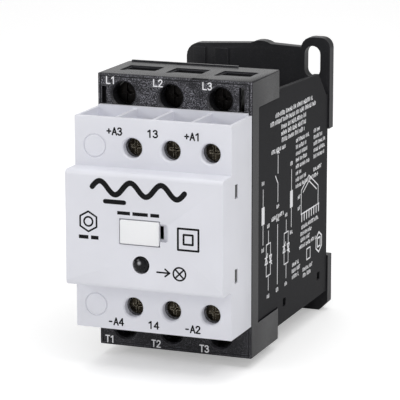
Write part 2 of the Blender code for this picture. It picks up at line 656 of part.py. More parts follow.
def control_terminals():
    """Six small terminals with contact bars down to the control board."""
    for row, z in enumerate(CONTROL_ROWS):
        sign = 1 if row == 0 else -1
        end = 16.6 if row == 0 else -8.6
        for column, x in enumerate(CONTROL_COLUMNS):
            name = CONTROL_NAMES[row][column]
            terminal(CONTROL, f"control_{name}", x, z, ZINC_STEEL, BRASS)
            low, high = sorted((end, z + sign * 2.3))
            block(f"control_{name}_contact_bar", (x - 2.0, CONTROL["bar_front"], low),
                  (x + 2.0, CONTROL["bar_rear"], high), BRASS)


def electronics():
    """Boards, aux relay, optocouplers, varistors and the link between the boards."""
    block("control_board", (-19.9, -77.0, -10.0), (19.9, -75.4, 18.0), CIRCUIT_BOARD)
    block("power_board", (-19.0, -49.0, -7.0), (19.0, -47.4, 9.5), CIRCUIT_BOARD)
    block("auxiliary_relay", (-2.0, -75.1, -7.5), (18.0, -65.5, 2.5), RELAY_CASE)
    block("board_link", (-17.0, -75.1, 3.6), (-7.0, -49.3, 5.2), BLACK_PLASTIC)
    for name, x in (("left", -8.6), ("right", 8.6)):
        block(f"optocoupler_{name}", (x - 3.4, -52.8, -5.4), (x + 3.4, -49.3, 3.0), EPOXY)
    for name, x in (("left", -15.2), ("right", 15.2)):
        rod(f"varistor_{name}", x, -1.8, (-52.9, -49.3), (3.1, 3.1), VARISTOR_COAT)


def indicators():
    """LED on the board, smoke light pipe in the cover, and the snap-in marker plate."""
    x, z = -0.7, -4.1
    rod("status_led", x, z, (-80.2, -77.3), (1.5, 1.5), LED_GREEN, sides=16)
    profile = [(0.0, 0.0), (1.0, 0.12), (1.7, 0.42), (2.15, 0.9), (2.15, 2.9), (2.9, 2.9),
               (2.9, 3.7), (1.9, 3.7), (1.9, 9.0), (0.0, 9.0)]
    turned("led_lens", (x, COVER_NOSE - 0.5, z), profile, SMOKE_LENS)
    plate = block("marker_plate", (-6.6, COVER_NOSE - 0.4, 1.4), (4.5, COVER_NOSE + 0.8, 7.9), WHITE_PLASTIC)
    edge = plate.modifiers.new("round_edge", "BEVEL")
    edge.width = 0.25 * MM
    edge.segments = 2


terminal_housing()
rear_housing()
front_cover()
mounting_base()
rail_clip()
rail_clip_spring()
heatsink()
power_stack()
power_terminals()
control_terminals()
electronics()
indicators()
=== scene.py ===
import math

import bmesh
import bpy
import numpy as np
from mathutils import Matrix, Vector


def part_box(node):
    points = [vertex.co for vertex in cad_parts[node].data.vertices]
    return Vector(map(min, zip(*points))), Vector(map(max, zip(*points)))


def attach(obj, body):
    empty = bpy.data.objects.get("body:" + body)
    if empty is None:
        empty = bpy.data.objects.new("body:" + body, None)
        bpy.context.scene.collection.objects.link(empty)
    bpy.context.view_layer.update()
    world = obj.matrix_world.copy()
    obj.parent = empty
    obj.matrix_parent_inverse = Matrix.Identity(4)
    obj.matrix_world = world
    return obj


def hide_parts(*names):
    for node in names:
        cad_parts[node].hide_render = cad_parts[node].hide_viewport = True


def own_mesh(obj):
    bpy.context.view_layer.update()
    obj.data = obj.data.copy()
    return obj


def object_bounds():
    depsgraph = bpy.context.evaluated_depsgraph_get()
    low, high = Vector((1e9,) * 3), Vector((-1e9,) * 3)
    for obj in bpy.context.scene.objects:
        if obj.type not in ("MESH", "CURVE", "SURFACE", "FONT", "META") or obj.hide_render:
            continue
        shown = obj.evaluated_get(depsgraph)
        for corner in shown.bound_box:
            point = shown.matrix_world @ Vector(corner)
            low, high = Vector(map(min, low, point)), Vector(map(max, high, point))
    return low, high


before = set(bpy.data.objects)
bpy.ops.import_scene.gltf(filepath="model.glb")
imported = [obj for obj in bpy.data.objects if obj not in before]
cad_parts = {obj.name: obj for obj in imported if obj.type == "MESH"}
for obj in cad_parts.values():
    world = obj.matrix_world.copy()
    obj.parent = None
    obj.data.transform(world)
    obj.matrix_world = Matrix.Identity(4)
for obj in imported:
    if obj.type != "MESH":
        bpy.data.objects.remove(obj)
cad_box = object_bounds()
MM = 0.001


# --- Camera, table and light ---------------------------------------------------------------
# A long lens a little above and to the right of the relay, which stands on a pale table
# in a white room, between broad softboxes and two small ones that put glints on its edges.

camera_data = bpy.data.cameras.new("camera")
camera = bpy.data.objects.new("camera", camera_data)
bpy.context.scene.collection.objects.link(camera)
bpy.context.scene.camera = camera
camera_data.lens = 212.5
camera_data.sensor_width = 36.0
camera.location = Vector((233.8, -650.8, 147.5)) * MM
camera_aim = Vector((-0.353, 0.911, -0.215))
camera_roll = Matrix.Rotation(math.radians(-0.07), 3, "Z")
camera.rotation_mode = "QUATERNION"
camera.rotation_quaternion = camera_aim.to_track_quat("-Z", "Y") @ camera_roll.to_quaternion()
bpy.context.scene.view_settings.view_transform = "Standard"

room = bpy.data.worlds.new("white_room")
bpy.context.scene.world = room
room.use_nodes = True
room.node_tree.nodes["Background"].inputs["Color"].default_value = (1.0, 1.0, 1.0, 1.0)
room.node_tree.nodes["Background"].inputs["Strength"].default_value = 0.38


def softbox(name, place, aim, size, power):
    """Hang a square area light at a place, turned to face a point, all in metres."""
    data = bpy.data.lights.new(name, "AREA")
    data.size = size
    data.energy = power
    light = bpy.data.objects.new(name, data)
    light.location = place
    light.rotation_euler = (Vector(aim) - Vector(place)).to_track_quat("-Z", "Y").to_euler()
    light.visible_camera = False
    bpy.context.scene.collection.objects.link(light)


middle = (cad_box[0] + cad_box[1]) / 2
softbox("overhead_softbox", middle + Vector((0.10, -0.05, 0.80)), middle, 0.8, 3.5)
softbox("front_softbox", middle + Vector((-0.10, -0.95, 0.20)), middle, 0.6, 0.4)
softbox("side_softbox", middle + Vector((0.85, -0.55, 0.20)), middle, 0.5, 1.3)
softbox("back_softbox", middle + Vector((-0.34, 0.85, 0.32)), middle, 0.5, 0.45)
softbox("right_glint", middle + Vector((0.52, -0.36, 0.64)), middle, 0.16, 1.1)
softbox("left_glint", middle + Vector((-0.62, -0.55, 0.34)), middle, 0.26, 1.6)

table_level = cad_box[0].z - 0.1 * MM
table_half = 1.5
table_mesh = bpy.data.meshes.new("table_top")
table_mesh.from_pydata(
    [(-table_half, -table_half, table_level), (table_half, -table_half, table_level),
     (table_half, table_half, table_level), (-table_half, table_half, table_level)], [], [(0, 1, 2, 3)])
table = bpy.data.objects.new("table_top", table_mesh)
bpy.context.scene.collection.objects.link(table)
table_paint = bpy.data.materials.new("white_laminate")
table_paint.use_nodes = True
table_shader = table_paint.node_tree.nodes["Principled BSDF"]
table_shader.inputs["Base Color"].default_value = (0.90, 0.90, 0.90, 1.0)
table_shader.inputs["Roughness"].default_value = 0.7
table_shader.inputs["Emission Color"].default_value = (1.0, 1.0, 1.0, 1.0)
seen_directly = table_paint.node_tree.nodes.new("ShaderNodeLightPath").outputs["Is Camera Ray"]
table_glow = table_paint.node_tree.nodes.new("ShaderNodeMath")
table_glow.operation = "MULTIPLY"
table_glow.inputs[1].default_value = 0.35
table_paint.node_tree.links.new(seen_directly, table_glow.inputs[0])
table_paint.node_tree.links.new(table_glow.outputs[0], table_shader.inputs["Emission Strength"])
table_mesh.materials.append(table_paint)


# --- Front cover ---------------------------------------------------------------------------
# The light grey cover is one polycarbonate moulding with a stepped front. Its walls and
# ribs keep small round edges from the mould, and its skin has a very fine, even grain.

def new_group(name, numbers, colours, outputs):
    """Start a node group: named number and colour inputs, and (name, kind) outputs."""
    tree = bpy.data.node_groups.new(name, "ShaderNodeTree")
    for label, value in numbers.items():
        socket = tree.interface.new_socket(label, in_out="INPUT", socket_type="NodeSocketFloat")
        socket.default_value = value
    for label, value in colours.items():
        socket = tree.interface.new_socket(label, in_out="INPUT", socket_type="NodeSocketColor")
        socket.default_value = (*value, 1.0)
    for label, kind in outputs:
        tree.interface.new_socket(label, in_out="OUTPUT", socket_type=f"NodeSocket{kind}")
    return tree, tree.nodes.new("NodeGroupInput"), tree.nodes.new("NodeGroupOutput")


def add_node(tree, kind, wires=(), **values):
    """Add a shader node, set its properties and socket values, and wire its inputs."""
    node = tree.nodes.new(kind)
    for label, value in values.items():
        if label in node.inputs:
            node.inputs[label].default_value = value
        else:
            setattr(node, label, value)
    for socket, source in dict(wires).items():
        tree.links.new(source, node.inputs[socket])
    return node


def blend(tree, factor, first, second, mode="MIX"):
    """Mix two colours; each of factor, first and second is a socket or a plain value."""
    node = tree.nodes.new("ShaderNodeMix")
    node.data_type = "RGBA"
    node.blend_type = mode
    for index, source in ((0, factor), (6, first), (7, second)):
        if isinstance(source, bpy.types.NodeSocket):
            tree.links.new(source, node.inputs[index])
        else:
            node.inputs[index].default_value = source
    return node.outputs[2]


def remap(tree, source, low, high, start, end):
    """Map a value from low..high onto start..end, held at both ends."""
    node = add_node(tree, "ShaderNodeMapRange", {"Value": source})
    for label, value in (("From Min", low), ("From Max", high), ("To Min", start), ("To Max", end)):
        node.inputs[label].default_value = value
    return node.outputs["Result"]


def build_moulding():
    """Moulded plastic: fine grain, faint flow clouding, flecks, and paler edges, partly rubbed and partly a
    painted highlight.

    The edge mask is how far the rounded normal turns away from the face's own normal. Front
    Only keeps the flecks and their grain to faces that point along -Y and lie in front of
    Front Level, where the mould is spark-eroded, and leaves the rest smoother. The flecks
    thin out towards the bottom: painted shade, for the cover's shadow and the light from above.
    """
    tree, source, sink = new_group(
        "moulded_skin",
        {"Grain Size": 0.25, "Grain Depth": 0.5, "Clouding": 0.5, "Edge Light": 0.3, "Roughness": 0.5,
         "Speckle": 0.0, "Front Only": 0.0, "Front Level": 0.0},
        {"Colour": (0.5, 0.5, 0.5), "Edge Colour": (0.6, 0.6, 0.6)},
        [("Colour", "Color"), ("Roughness", "Float"), ("Height", "Float")])
    place = add_node(tree, "ShaderNodeTexCoord").outputs["Object"]
    inputs = source.outputs
    scale = add_node(tree, "ShaderNodeMath", {1: inputs["Grain Size"]}, operation="DIVIDE")
    scale.inputs[0].default_value = 1000.0
    grain = add_node(tree, "ShaderNodeTexNoise", {"Vector": place, "Scale": scale.outputs[0]},
                     Detail=3.0, Roughness=0.65)
    cells = add_node(tree, "ShaderNodeTexVoronoi", {"Vector": place, "Scale": scale.outputs[0]},
                     feature="SMOOTH_F1")
    cloud = add_node(tree, "ShaderNodeTexNoise", {"Vector": place}, Scale=60.0, Detail=4.0, Roughness=0.5)
    # Paler edges: partly rubbed wear, partly a painted highlight where a rounded edge catches the light.
    rounded = add_node(tree, "ShaderNodeBevel", samples=4, Radius=0.25 * MM)
    plain = add_node(tree, "ShaderNodeNewGeometry")
    turn = add_node(tree, "ShaderNodeVectorMath",
                    {0: rounded.outputs["Normal"], 1: plain.outputs["Normal"]}, operation="DOT_PRODUCT")
    edge = remap(tree, turn.outputs["Value"], 0.985, 0.90, 0.0, 1.0)
    weighted_mask = add_node(tree, "ShaderNodeMath", {0: edge, 1: inputs["Edge Light"]}, operation="MULTIPLY")
    patchy = add_node(tree, "ShaderNodeMath",
                      {0: weighted_mask.outputs[0], 1: remap(tree, cloud.outputs["Fac"], 0.35, 0.65, 0.4, 1.0)},
                      operation="MULTIPLY")
    shade = remap(tree, cloud.outputs["Fac"], 0.3, 0.7, 0.88, 1.08)
    toned = blend(tree, inputs["Clouding"], inputs["Colour"],
                  blend(tree, 1.0, inputs["Colour"], shade, "MULTIPLY"))
    broad = add_node(tree, "ShaderNodeTexNoise", {"Vector": place}, Scale=260.0, Detail=3.0, Roughness=0.6)
    flecks = add_node(tree, "ShaderNodeMath",
                      {0: remap(tree, grain.outputs["Fac"], 0.48, 0.68, 0.0, 1.0),
                       1: remap(tree, broad.outputs["Fac"], 0.34, 0.62, 0.25, 1.0)},
                      operation="MULTIPLY").outputs[0]
    facing = add_node(tree, "ShaderNodeSeparateXYZ",
                      {0: add_node(tree, "ShaderNodeTexCoord").outputs["Normal"]}).outputs["Y"]
    depth = add_node(tree, "ShaderNodeMath",
                     {0: add_node(tree, "ShaderNodeSeparateXYZ", {0: place}).outputs["Y"],
                      1: inputs["Front Level"]}, operation="SUBTRACT")
    behind = add_node(tree, "ShaderNodeMath", {0: remap(tree, facing, -0.9, -0.6, 0.0, 1.0),
                                               1: remap(tree, depth.outputs[0], 0.0, 0.3 * MM, 0.0, 1.0)},
                      operation="MAXIMUM")
    elsewhere = add_node(tree, "ShaderNodeMath", {0: behind.outputs[0], 1: inputs["Front Only"]},
                         operation="MULTIPLY")
    eroded = add_node(tree, "ShaderNodeMath", {1: elsewhere.outputs[0]}, operation="SUBTRACT")
    eroded.inputs[0].default_value = 1.0
    # Painted shade: the flecks dim towards the bottom, standing in for the cover's shadow and the light from
    # above.
    upper = remap(tree, add_node(tree, "ShaderNodeSeparateXYZ", {0: place}).outputs["Z"],
                  -30.0 * MM, 30.0 * MM, 0.3, 1.0)
    coarse = add_node(tree, "ShaderNodeMath", {0: inputs["Speckle"], 1: upper}, operation="MULTIPLY")
    strength = add_node(tree, "ShaderNodeMath", {0: coarse.outputs[0], 1: eroded.outputs[0]},
                        operation="MULTIPLY")
    fleck = add_node(tree, "ShaderNodeMath", {0: flecks, 1: strength.outputs[0]}, operation="MULTIPLY")
    speckled = blend(tree, fleck.outputs[0], toned, inputs["Edge Colour"])
    final = blend(tree, patchy.outputs[0], speckled, inputs["Edge Colour"])
    wobble = remap(tree, grain.outputs["Fac"], 0.3, 0.7, -0.06, 0.06)
    uneven = add_node(tree, "ShaderNodeMath", {0: inputs["Roughness"], 1: wobble}, operation="ADD")
    smooth = remap(tree, elsewhere.outputs[0], 0.0, 1.0, 0.0, 0.16)
    rough = add_node(tree, "ShaderNodeMath", {0: uneven.outputs[0], 1: smooth}, operation="SUBTRACT")
    both = add_node(tree, "ShaderNodeMath", {0: grain.outputs["Fac"], 1: cells.outputs["Distance"]},
                    operation="ADD")
    relief = add_node(tree, "ShaderNodeMath", {0: both.outputs[0], 1: inputs["Grain Depth"]},
                      operation="MULTIPLY")
    calmed = remap(tree, eroded.outputs[0], 0.0, 1.0, 0.25, 1.0)
    height = add_node(tree, "ShaderNodeMath", {0: relief.outputs[0], 1: calmed}, operation="MULTIPLY")
    tree.links.new(final, sink.inputs["Colour"])
    tree.links.new(rough.outputs[0], sink.inputs["Roughness"])
    tree.links.new(height.outputs[0], sink.inputs["Height"])
    return tree


MOULDED_SKIN = build_moulding()


def finish_material(name, group, values, bump, **shader_values):
    """Make a Principled material whose colour, roughness and bump come from a group."""
    paint = bpy.data.materials.new(name)
    paint.use_nodes = True
    tree = paint.node_tree
    shader = tree.nodes["Principled BSDF"]
    skin = tree.nodes.new("ShaderNodeGroup")
    skin.node_tree = group
    for label, value in values.items():
        skin.inputs[label].default_value = (*value, 1.0) if isinstance(value, tuple) else value
    tree.links.new(skin.outputs["Colour"], shader.inputs["Base Color"])
    tree.links.new(skin.outputs["Roughness"], shader.inputs["Roughness"])
    relief = add_node(tree, "ShaderNodeBump", {"Height": skin.outputs["Height"]}, Distance=bump * MM)
    tree.links.new(relief.outputs["Normal"], shader.inputs["Normal"])
    for label, value in shader_values.items():
        shader.inputs[label.replace("_", " ")].default_value = value
    return paint


def add_piece(name, mesh, body, paint, replaced=()):
    """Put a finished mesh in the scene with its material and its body."""
    mesh.materials.clear()
    mesh.materials.append(paint)
    made = bpy.data.objects.new(name, mesh)
    bpy.context.scene.collection.objects.link(made)
    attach(made, body)
    if replaced:
        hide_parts(*replaced)
    return made


def softened(node, width, paint, body="casing", segments=2):
    """Copy a CAD solid, merge its triangles into whole faces and round its sharp edges."""
    shape = bmesh.new()
    shape.from_mesh(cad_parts[node].data)
    bmesh.ops.remove_doubles(shape, verts=shape.verts[:], dist=2e-6)
    bmesh.ops.dissolve_limit(shape, angle_limit=math.radians(1.5), verts=shape.verts[:],
                             edges=shape.edges[:])
    mesh = bpy.data.meshes.new(f"{node}_shell")
    shape.to_mesh(mesh)
    shape.free()
    made = add_piece(f"{node}_shell", mesh, body, paint, (node,))
    edge = made.modifiers.new("moulded_edge", "BEVEL")
    edge.width = width * MM
    edge.segments = segments
    edge.limit_method = "ANGLE"
    edge.angle_limit = math.radians(40)
    edge.use_clamp_overlap = True
    mesh.shade_smooth()
    mesh.set_sharp_from_angle(angle=math.radians(28))
    return made


COVER_PAINT = finish_material(
    "light_grey_polycarbonate", MOULDED_SKIN,
    {"Colour": (0.745, 0.75, 0.805), "Edge Colour": (0.90, 0.905, 0.93), "Grain Size": 0.22,
     "Grain Depth": 0.4, "Clouding": 0.3, "Edge Light": 0.35, "Roughness": 0.42}, 0.012)
softened("front_cover", 0.14, COVER_PAINT)


# --- Printing on the cover -----------------------------------------------------------------
# Black ink is pad-printed on the cover: the terminal numbers, a plain wave for switched
# alternating current, a nut, two nested squares, an arrow to a lamp and bars for small type.

NUMERALS_AND_SIGNS = {
    "1": [[(0.4, 4.7), (2.2, 6.0), (2.2, 0.0)]],
    "2": [[(0.2, 4.6), (0.7, 5.6), (1.8, 6.0), (3.0, 5.7), (3.6, 4.8), (3.3, 3.6), (0.1, 0.0), (3.8, 0.0)]],
    "3": [[(0.2, 5.0), (1.0, 5.9), (2.4, 6.0), (3.4, 5.2), (3.2, 3.9), (1.7, 3.3), (3.4, 2.7), (3.8, 1.5),
           (2.9, 0.3), (1.3, 0.0), (0.1, 1.0)]],
    "4": [[(3.0, 0.0), (3.0, 6.0), (0.0, 1.8), (4.0, 1.8)]],
    "A": [[(0.0, 0.0), (2.0, 6.0), (4.0, 0.0)], [(0.8, 2.1), (3.2, 2.1)]],
    "L": [[(0.2, 6.0), (0.2, 0.0), (3.8, 0.0)]],
    "T": [[(0.0, 6.0), (4.0, 6.0)], [(2.0, 6.0), (2.0, 0.0)]],
    "+": [[(0.1, 2.9), (3.7, 2.9)], [(1.9, 1.1), (1.9, 4.7)]],
    "-": [[(0.6, 2.6), (3.0, 2.6)]],
}
SIGN_PITCH = 5.2
SIGN_WIDTH = 4.0
SIGN_HEIGHT = 6.0
INK_LIFT = 0.025
INK_STEP = 0.0015
INK_ROOT = 0.02


def sign(text, left, right, low, high):
    """Terminal number as lines of points, fitted to a box in the print's plane."""
    wide = SIGN_PITCH * (len(text) - 1) + SIGN_WIDTH
    lines = []
    for index, letter in enumerate(text):
        for line in NUMERALS_AND_SIGNS[letter]:
            points = np.array(line) + (index * SIGN_PITCH, 0.0)
            lines.append(points * ((right - left) / wide, (high - low) / SIGN_HEIGHT) + (left, low))
    return lines


def bars(draw, left, right, low, high):
    """A row of word-long bars that stands for a line of type, from a seeded draw."""
    tall = high - low
    strokes = []
    place = left
    while place < right - 0.2 * tall:
        word = min(draw.uniform(1.5, 3.6) * tall, right - place)
        strokes.append(([(place, low + tall / 2), (place + word, low + tall / 2)], 0.36 * tall, True))
        place += word + 0.55 * tall
    return strokes


def small_type(draw, left, right, low, high):
    """A row of upright ticks in word-long clusters, as small type looks from afar."""
    tall = high - low
    strokes = []
    place = left
    while place < right:
        for _ in range(draw.integers(3, 8)):
            if place > right:
                break
            rise = draw.uniform(0.72, 1.0) * tall
            strokes.append(([(place, low), (place, low + rise)], 0.14 * tall, True))
            if draw.random() < 0.45:
                level = low + draw.choice([0.08, 0.45, 0.85]) * tall
                strokes.append(([(place, level), (place + 0.5 * tall, level)], 0.12 * tall, True))
            place += 0.62 * tall
        place += 0.45 * tall
    return strokes


def drawn(lines, half_width, square=False):
    """Give lines of points one half width and one kind of end, for ink()."""
    return [(line, half_width, square) for line in lines]


def circle(centre, radius, steps=32, start=0.0):
    """Closed ring of points."""
    turn = np.linspace(0.0, 2.0 * np.pi, steps + 1) + start
    return np.stack([centre[0] + radius * np.cos(turn), centre[1] + radius * np.sin(turn)], axis=1)


def box_line(left, right, low, high):
    """Closed rectangle of points."""
    return [(left, low), (right, low), (right, high), (left, high), (left, low)]


def ink(name, strokes, side, level, body, paint):
    """Print strokes of ink on a flat face, each stretch of a line a thin closed strip.

    A stroke is (points, half width, square ends). A round strip's outline is two half
    circles about the stretch's ends, a square one's is four corners, and each stands a
    little proud of the face. side is "front" (facing -Y, points are X and Z) or "right"
    (facing +X, points are Y and Z), and level is where that face is. Neighbours differ a
    little in height, so that no two strips share a plane.
    """
    round_cap = np.radians(np.linspace(-90.0, 90.0, 5))
    point_sets, faces, used = [], [], 0
    for wanted, cap in ((False, round_cap), (True, np.radians([-90.0, 90.0]))):
        chosen = [(np.asarray(line, float), half) for line, half, square in strokes if square == wanted]
        if not chosen:
            continue
        starts = np.concatenate([line[:-1] for line, half in chosen])
        ends = np.concatenate([line[1:] for line, half in chosen])
        halves = np.concatenate([np.full(len(line) - 1, half) for line, half in chosen])
        along = ends - starts
        along /= np.linalg.norm(along, axis=1)[:, None]
        across = np.stack([-along[:, 1], along[:, 0]], axis=1)
        turn = np.concatenate([cap, cap + np.pi])
        corners = len(turn)
        centres = np.concatenate([np.repeat(ends[:, None], corners // 2, 1),
                                  np.repeat(starts[:, None], corners // 2, 1)], axis=1)
        edge = np.cos(turn)[None, :, None] * along[:, None] + np.sin(turn)[None, :, None] * across[:, None]
        outline = centres + halves[:, None, None] * edge
        count = len(outline)
        lift = INK_LIFT + INK_STEP * (np.arange(count) % 7)
        height = np.repeat(np.stack([np.full(count, -INK_ROOT), lift], axis=1)[:, :, None], corners, axis=2)
        flat = np.repeat(outline[:, None], 2, axis=1)
        if side == "front":
            points = np.stack([flat[..., 0], level / MM - height, flat[..., 1]], axis=-1)
        else:
            points = np.stack([level / MM + height, flat[..., 0], flat[..., 1]], axis=-1)
        base = used + 2 * corners * np.arange(count)[:, None]
        ring = np.arange(corners)
        after = np.roll(ring, -1)
        walls = np.stack([ring, after, after + corners, ring + corners], axis=1)
        faces += (base + ring[::-1]).tolist() + (base + corners + ring).tolist()
        faces += (base[:, :, None] + walls[None]).reshape(-1, 4).tolist()
        point_sets.append(points.reshape(-1, 3))
        used += 2 * corners * count
    mesh = bpy.data.meshes.new(name)
    mesh.from_pydata((np.concatenate(point_sets) * MM).tolist(), [], faces)
    return add_piece(name, mesh, body, paint)


def build_ink():
    """Pad-printed ink: thin and uneven, with pinholes where the face shows through."""
    tree, source, sink = new_group(
        "printed_ink", {"Wear": 0.3, "Roughness": 0.5}, {"Colour": (0.0, 0.0, 0.0), "Face": (0.5, 0.5, 0.5)},
        [("Colour", "Color"), ("Roughness", "Float"), ("Height", "Float")])
    place = add_node(tree, "ShaderNodeTexCoord").outputs["Object"]
    fine = add_node(tree, "ShaderNodeTexNoise", {"Vector": place}, Scale=3500.0, Detail=3.0, Roughness=0.6)
    broad = add_node(tree, "ShaderNodeTexNoise", {"Vector": place}, Scale=300.0, Detail=2.0, Roughness=0.5)
    holes = add_node(tree, "ShaderNodeMath",
                     {0: remap(tree, fine.outputs["Fac"], 0.60, 0.68, 0.0, 1.0),
                      1: remap(tree, broad.outputs["Fac"], 0.40, 0.65, 0.2, 1.0)}, operation="MULTIPLY")
    weighted_mask = add_node(tree, "ShaderNodeMath", {0: holes.outputs[0], 1: source.outputs["Wear"]},
                    operation="MULTIPLY")
    colour = blend(tree, weighted_mask.outputs[0], source.outputs["Colour"], source.outputs["Face"])
    uneven = remap(tree, fine.outputs["Fac"], 0.3, 0.7, -0.05, 0.05)
    rough = add_node(tree, "ShaderNodeMath", {0: source.outputs["Roughness"], 1: uneven}, operation="ADD")
    tree.links.new(colour, sink.inputs["Colour"])
    tree.links.new(rough.outputs[0], sink.inputs["Roughness"])
    tree.links.new(fine.outputs["Fac"], sink.inputs["Height"])
    return tree


PRINTED_INK = build_ink()
BLACK_INK = finish_material(
    "black_ink", PRINTED_INK,
    {"Colour": (0.005, 0.005, 0.006), "Face": (0.60, 0.605, 0.65), "Wear": 0.12, "Roughness": 0.55}, 0.004,
    Specular_IOR_Level=0.12)

nose_level, step_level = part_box("front_cover")[0].y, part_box("front_cover")[0].y + 6.7 * MM
CONTROL_SIGNS = {"a3": "+A3", "13": "13", "a1": "+A1", "a4": "-A4", "14": "14", "a2": "-A2"}
step_strokes = []
for terminal, text in CONTROL_SIGNS.items():
    low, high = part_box(f"control_{terminal}_screw")
    centre_x, centre_z = (low.x + high.x) / 2 / MM, (low.z + high.z) / 2 / MM
    half = 0.70 * len(text) + 0.05
    start = centre_z + 3.35 if centre_z > 0 else centre_z - 5.35
    step_strokes += drawn(sign(text, centre_x - 5.1 - half, centre_x - 5.1 + half, start, start + 1.9), 0.2)
ink("cover_terminal_numbers", step_strokes, "front", step_level, "casing", BLACK_INK)

type_draw = np.random.default_rng(7)
wave_x = np.linspace(-14.6, 11.8, 61)
wave = np.stack([wave_x, 16.2 + 1.75 * np.sin((wave_x + 14.6) / 26.4 * 6.0 * np.pi)], axis=1)
nose_strokes = drawn([wave], 0.74)
nose_strokes += drawn([[(-10.9, 12.5), (-5.4, 12.5)]], 0.62)
nose_strokes += bars(type_draw, -7.4, 4.6, 9.0, 10.3)
nose_strokes += drawn([circle((-15.8, 6.6), 2.75, 6, np.pi / 6), circle((-15.8, 6.6), 1.25, 20)], 0.24)
nose_strokes += bars(type_draw, -18.6, -12.9, 1.6, 3.0)
nose_strokes += drawn([box_line(9.9, 15.7, 1.0, 6.8), box_line(11.5, 14.1, 2.6, 5.2)], 0.27)
lamp_x, lamp_z, lamp_r = 10.3, -5.6, 1.75
slant = lamp_r * math.sqrt(0.5)
nose_strokes += drawn([circle((lamp_x, lamp_z), lamp_r, 28),
                       [(lamp_x - slant, lamp_z - slant), (lamp_x + slant, lamp_z + slant)],
                       [(lamp_x - slant, lamp_z + slant), (lamp_x + slant, lamp_z - slant)],
                       [(3.9, lamp_z), (7.4, lamp_z)],
                       [(6.2, lamp_z + 1.0), (7.5, lamp_z), (6.2, lamp_z - 1.0)]], 0.22)
ink("cover_front_marks", nose_strokes, "front", nose_level, "casing", BLACK_INK)


# --- Marker plate --------------------------------------------------------------------------
# A blank white plate of the same plastic as the cover snaps into a pocket in its front.

MARKER_PAINT = finish_material(
    "white_marker_plastic", MOULDED_SKIN,
    {"Colour": (0.88, 0.885, 0.90), "Edge Colour": (0.94, 0.94, 0.95), "Grain Size": 0.3, "Grain Depth": 0.25,
     "Clouding": 0.2, "Edge Light": 0.3, "Roughness": 0.34}, 0.01)
softened("marker_plate", 0.1, MARKER_PAINT, "marker_plate")


# --- Status lamp ---------------------------------------------------------------------------
# A smoke-tinted polycarbonate light pipe stands in the cover in front of a 3 mm diode. Both
# are turned shapes: the pipe has a domed front and a collar behind the cover's wall.

PLAIN_COLUMNS = 48


def turned_mesh(name, centre, radius, depth, recess=None):
    """Close a turned shape about a line along Y through a centre, in millimetres.

    radius and depth are one value for each ring from the front pole to the rear pole, with
    depth counted backwards; both poles are single points. A point is the centre plus its
    radius times the cosine and sine of its turn, and its depth. recess holds three arrays
    over ring and column: each column's turn, the least depth of each point, and how much
    its radius grows. Without it the columns are evenly spaced.
    """
    if recess is None:
        even = np.linspace(0.0, 2.0 * np.pi, PLAIN_COLUMNS, endpoint=False)[None, :]
        recess = (even, 0.0 * even, 0.0 * even)
    turn, pushed, grown = recess
    columns = turn.shape[1]
    radius = np.asarray(radius, float)[:, None] + grown * np.ones((len(radius), 1))
    depth = np.maximum(np.asarray(depth, float)[:, None] + np.zeros((1, columns)), pushed)
    turn = turn + np.zeros_like(radius)
    points = np.stack([centre[0] + radius * np.cos(turn), centre[1] + depth,
                       centre[2] + radius * np.sin(turn)], axis=-1)
    rings = len(radius) - 2
    body_points = points[1:-1].reshape(-1, 3)
    poles = np.stack([points[0, 0], points[-1, 0]])
    ring = np.arange(columns)
    after = np.roll(ring, -1)
    base = columns * np.arange(rings - 1)[:, None]
    quads = np.stack([base + ring, base + columns + ring, base + columns + after, base + after], axis=-1)
    front, rear = rings * columns, rings * columns + 1
    last = (rings - 1) * columns
    fans = np.concatenate([np.stack([0 * ring + front, ring, after], axis=1),
                           np.stack([0 * ring + rear, last + after, last + ring], axis=1)])
    mesh = bpy.data.meshes.new(name)
    mesh.from_pydata((np.concatenate([body_points, poles]) * MM).tolist(), [],
                     quads.reshape(-1, 4).tolist() + fans.tolist())
    mesh.shade_smooth()
    mesh.set_sharp_from_angle(angle=math.radians(35))
    return mesh


def build_clear():
    """Tinted clear plastic: smears on the gloss, an uneven tint and a pale spot in its colour.

    The spot fades out with the distance across Y from its middle, over its radius. On the smoke
    lens it is a painted highlight, and on the diode a paler middle.
    """
    tree, source, sink = new_group(
        "tinted_plastic", {"Roughness": 0.1, "Core Radius": 0.0, "Core X": 0.0, "Core Z": 0.0},
        {"Colour": (0.1, 0.1, 0.1), "Core Colour": (0.5, 0.5, 0.5)},
        [("Colour", "Color"), ("Roughness", "Float"), ("Height", "Float")])
    place = add_node(tree, "ShaderNodeTexCoord").outputs["Object"]
    smear = add_node(tree, "ShaderNodeTexNoise", {"Vector": place}, Scale=700.0, Detail=4.0, Roughness=0.6)
    tint = blend(tree, 1.0, source.outputs["Colour"], remap(tree, smear.outputs["Fac"], 0.3, 0.7, 0.8, 1.15),
                 "MULTIPLY")
    where = add_node(tree, "ShaderNodeSeparateXYZ", {0: place})
    spot_axis = add_node(tree, "ShaderNodeCombineXYZ",
                    {0: source.outputs["Core X"], 1: where.outputs["Y"], 2: source.outputs["Core Z"]})
    away = add_node(tree, "ShaderNodeVectorMath", {0: place, 1: spot_axis.outputs[0]}, operation="DISTANCE")
    in_spot = add_node(tree, "ShaderNodeMapRange",
                      {"Value": away.outputs["Value"], "From Max": source.outputs["Core Radius"]},
                      interpolation_type="SMOOTHSTEP")
    in_spot.inputs["To Min"].default_value = 1.0
    in_spot.inputs["To Max"].default_value = 0.0
    colour = blend(tree, in_spot.outputs["Result"], tint, source.outputs["Core Colour"])
    greasy = remap(tree, smear.outputs["Fac"], 0.4, 0.7, 0.0, 0.1)
    rough = add_node(tree, "ShaderNodeMath", {0: source.outputs["Roughness"], 1: greasy}, operation="ADD")
    tree.links.new(colour, sink.inputs["Colour"])
    tree.links.new(rough.outputs[0], sink.inputs["Roughness"])
    tree.links.new(smear.outputs["Fac"], sink.inputs["Height"])
    return tree


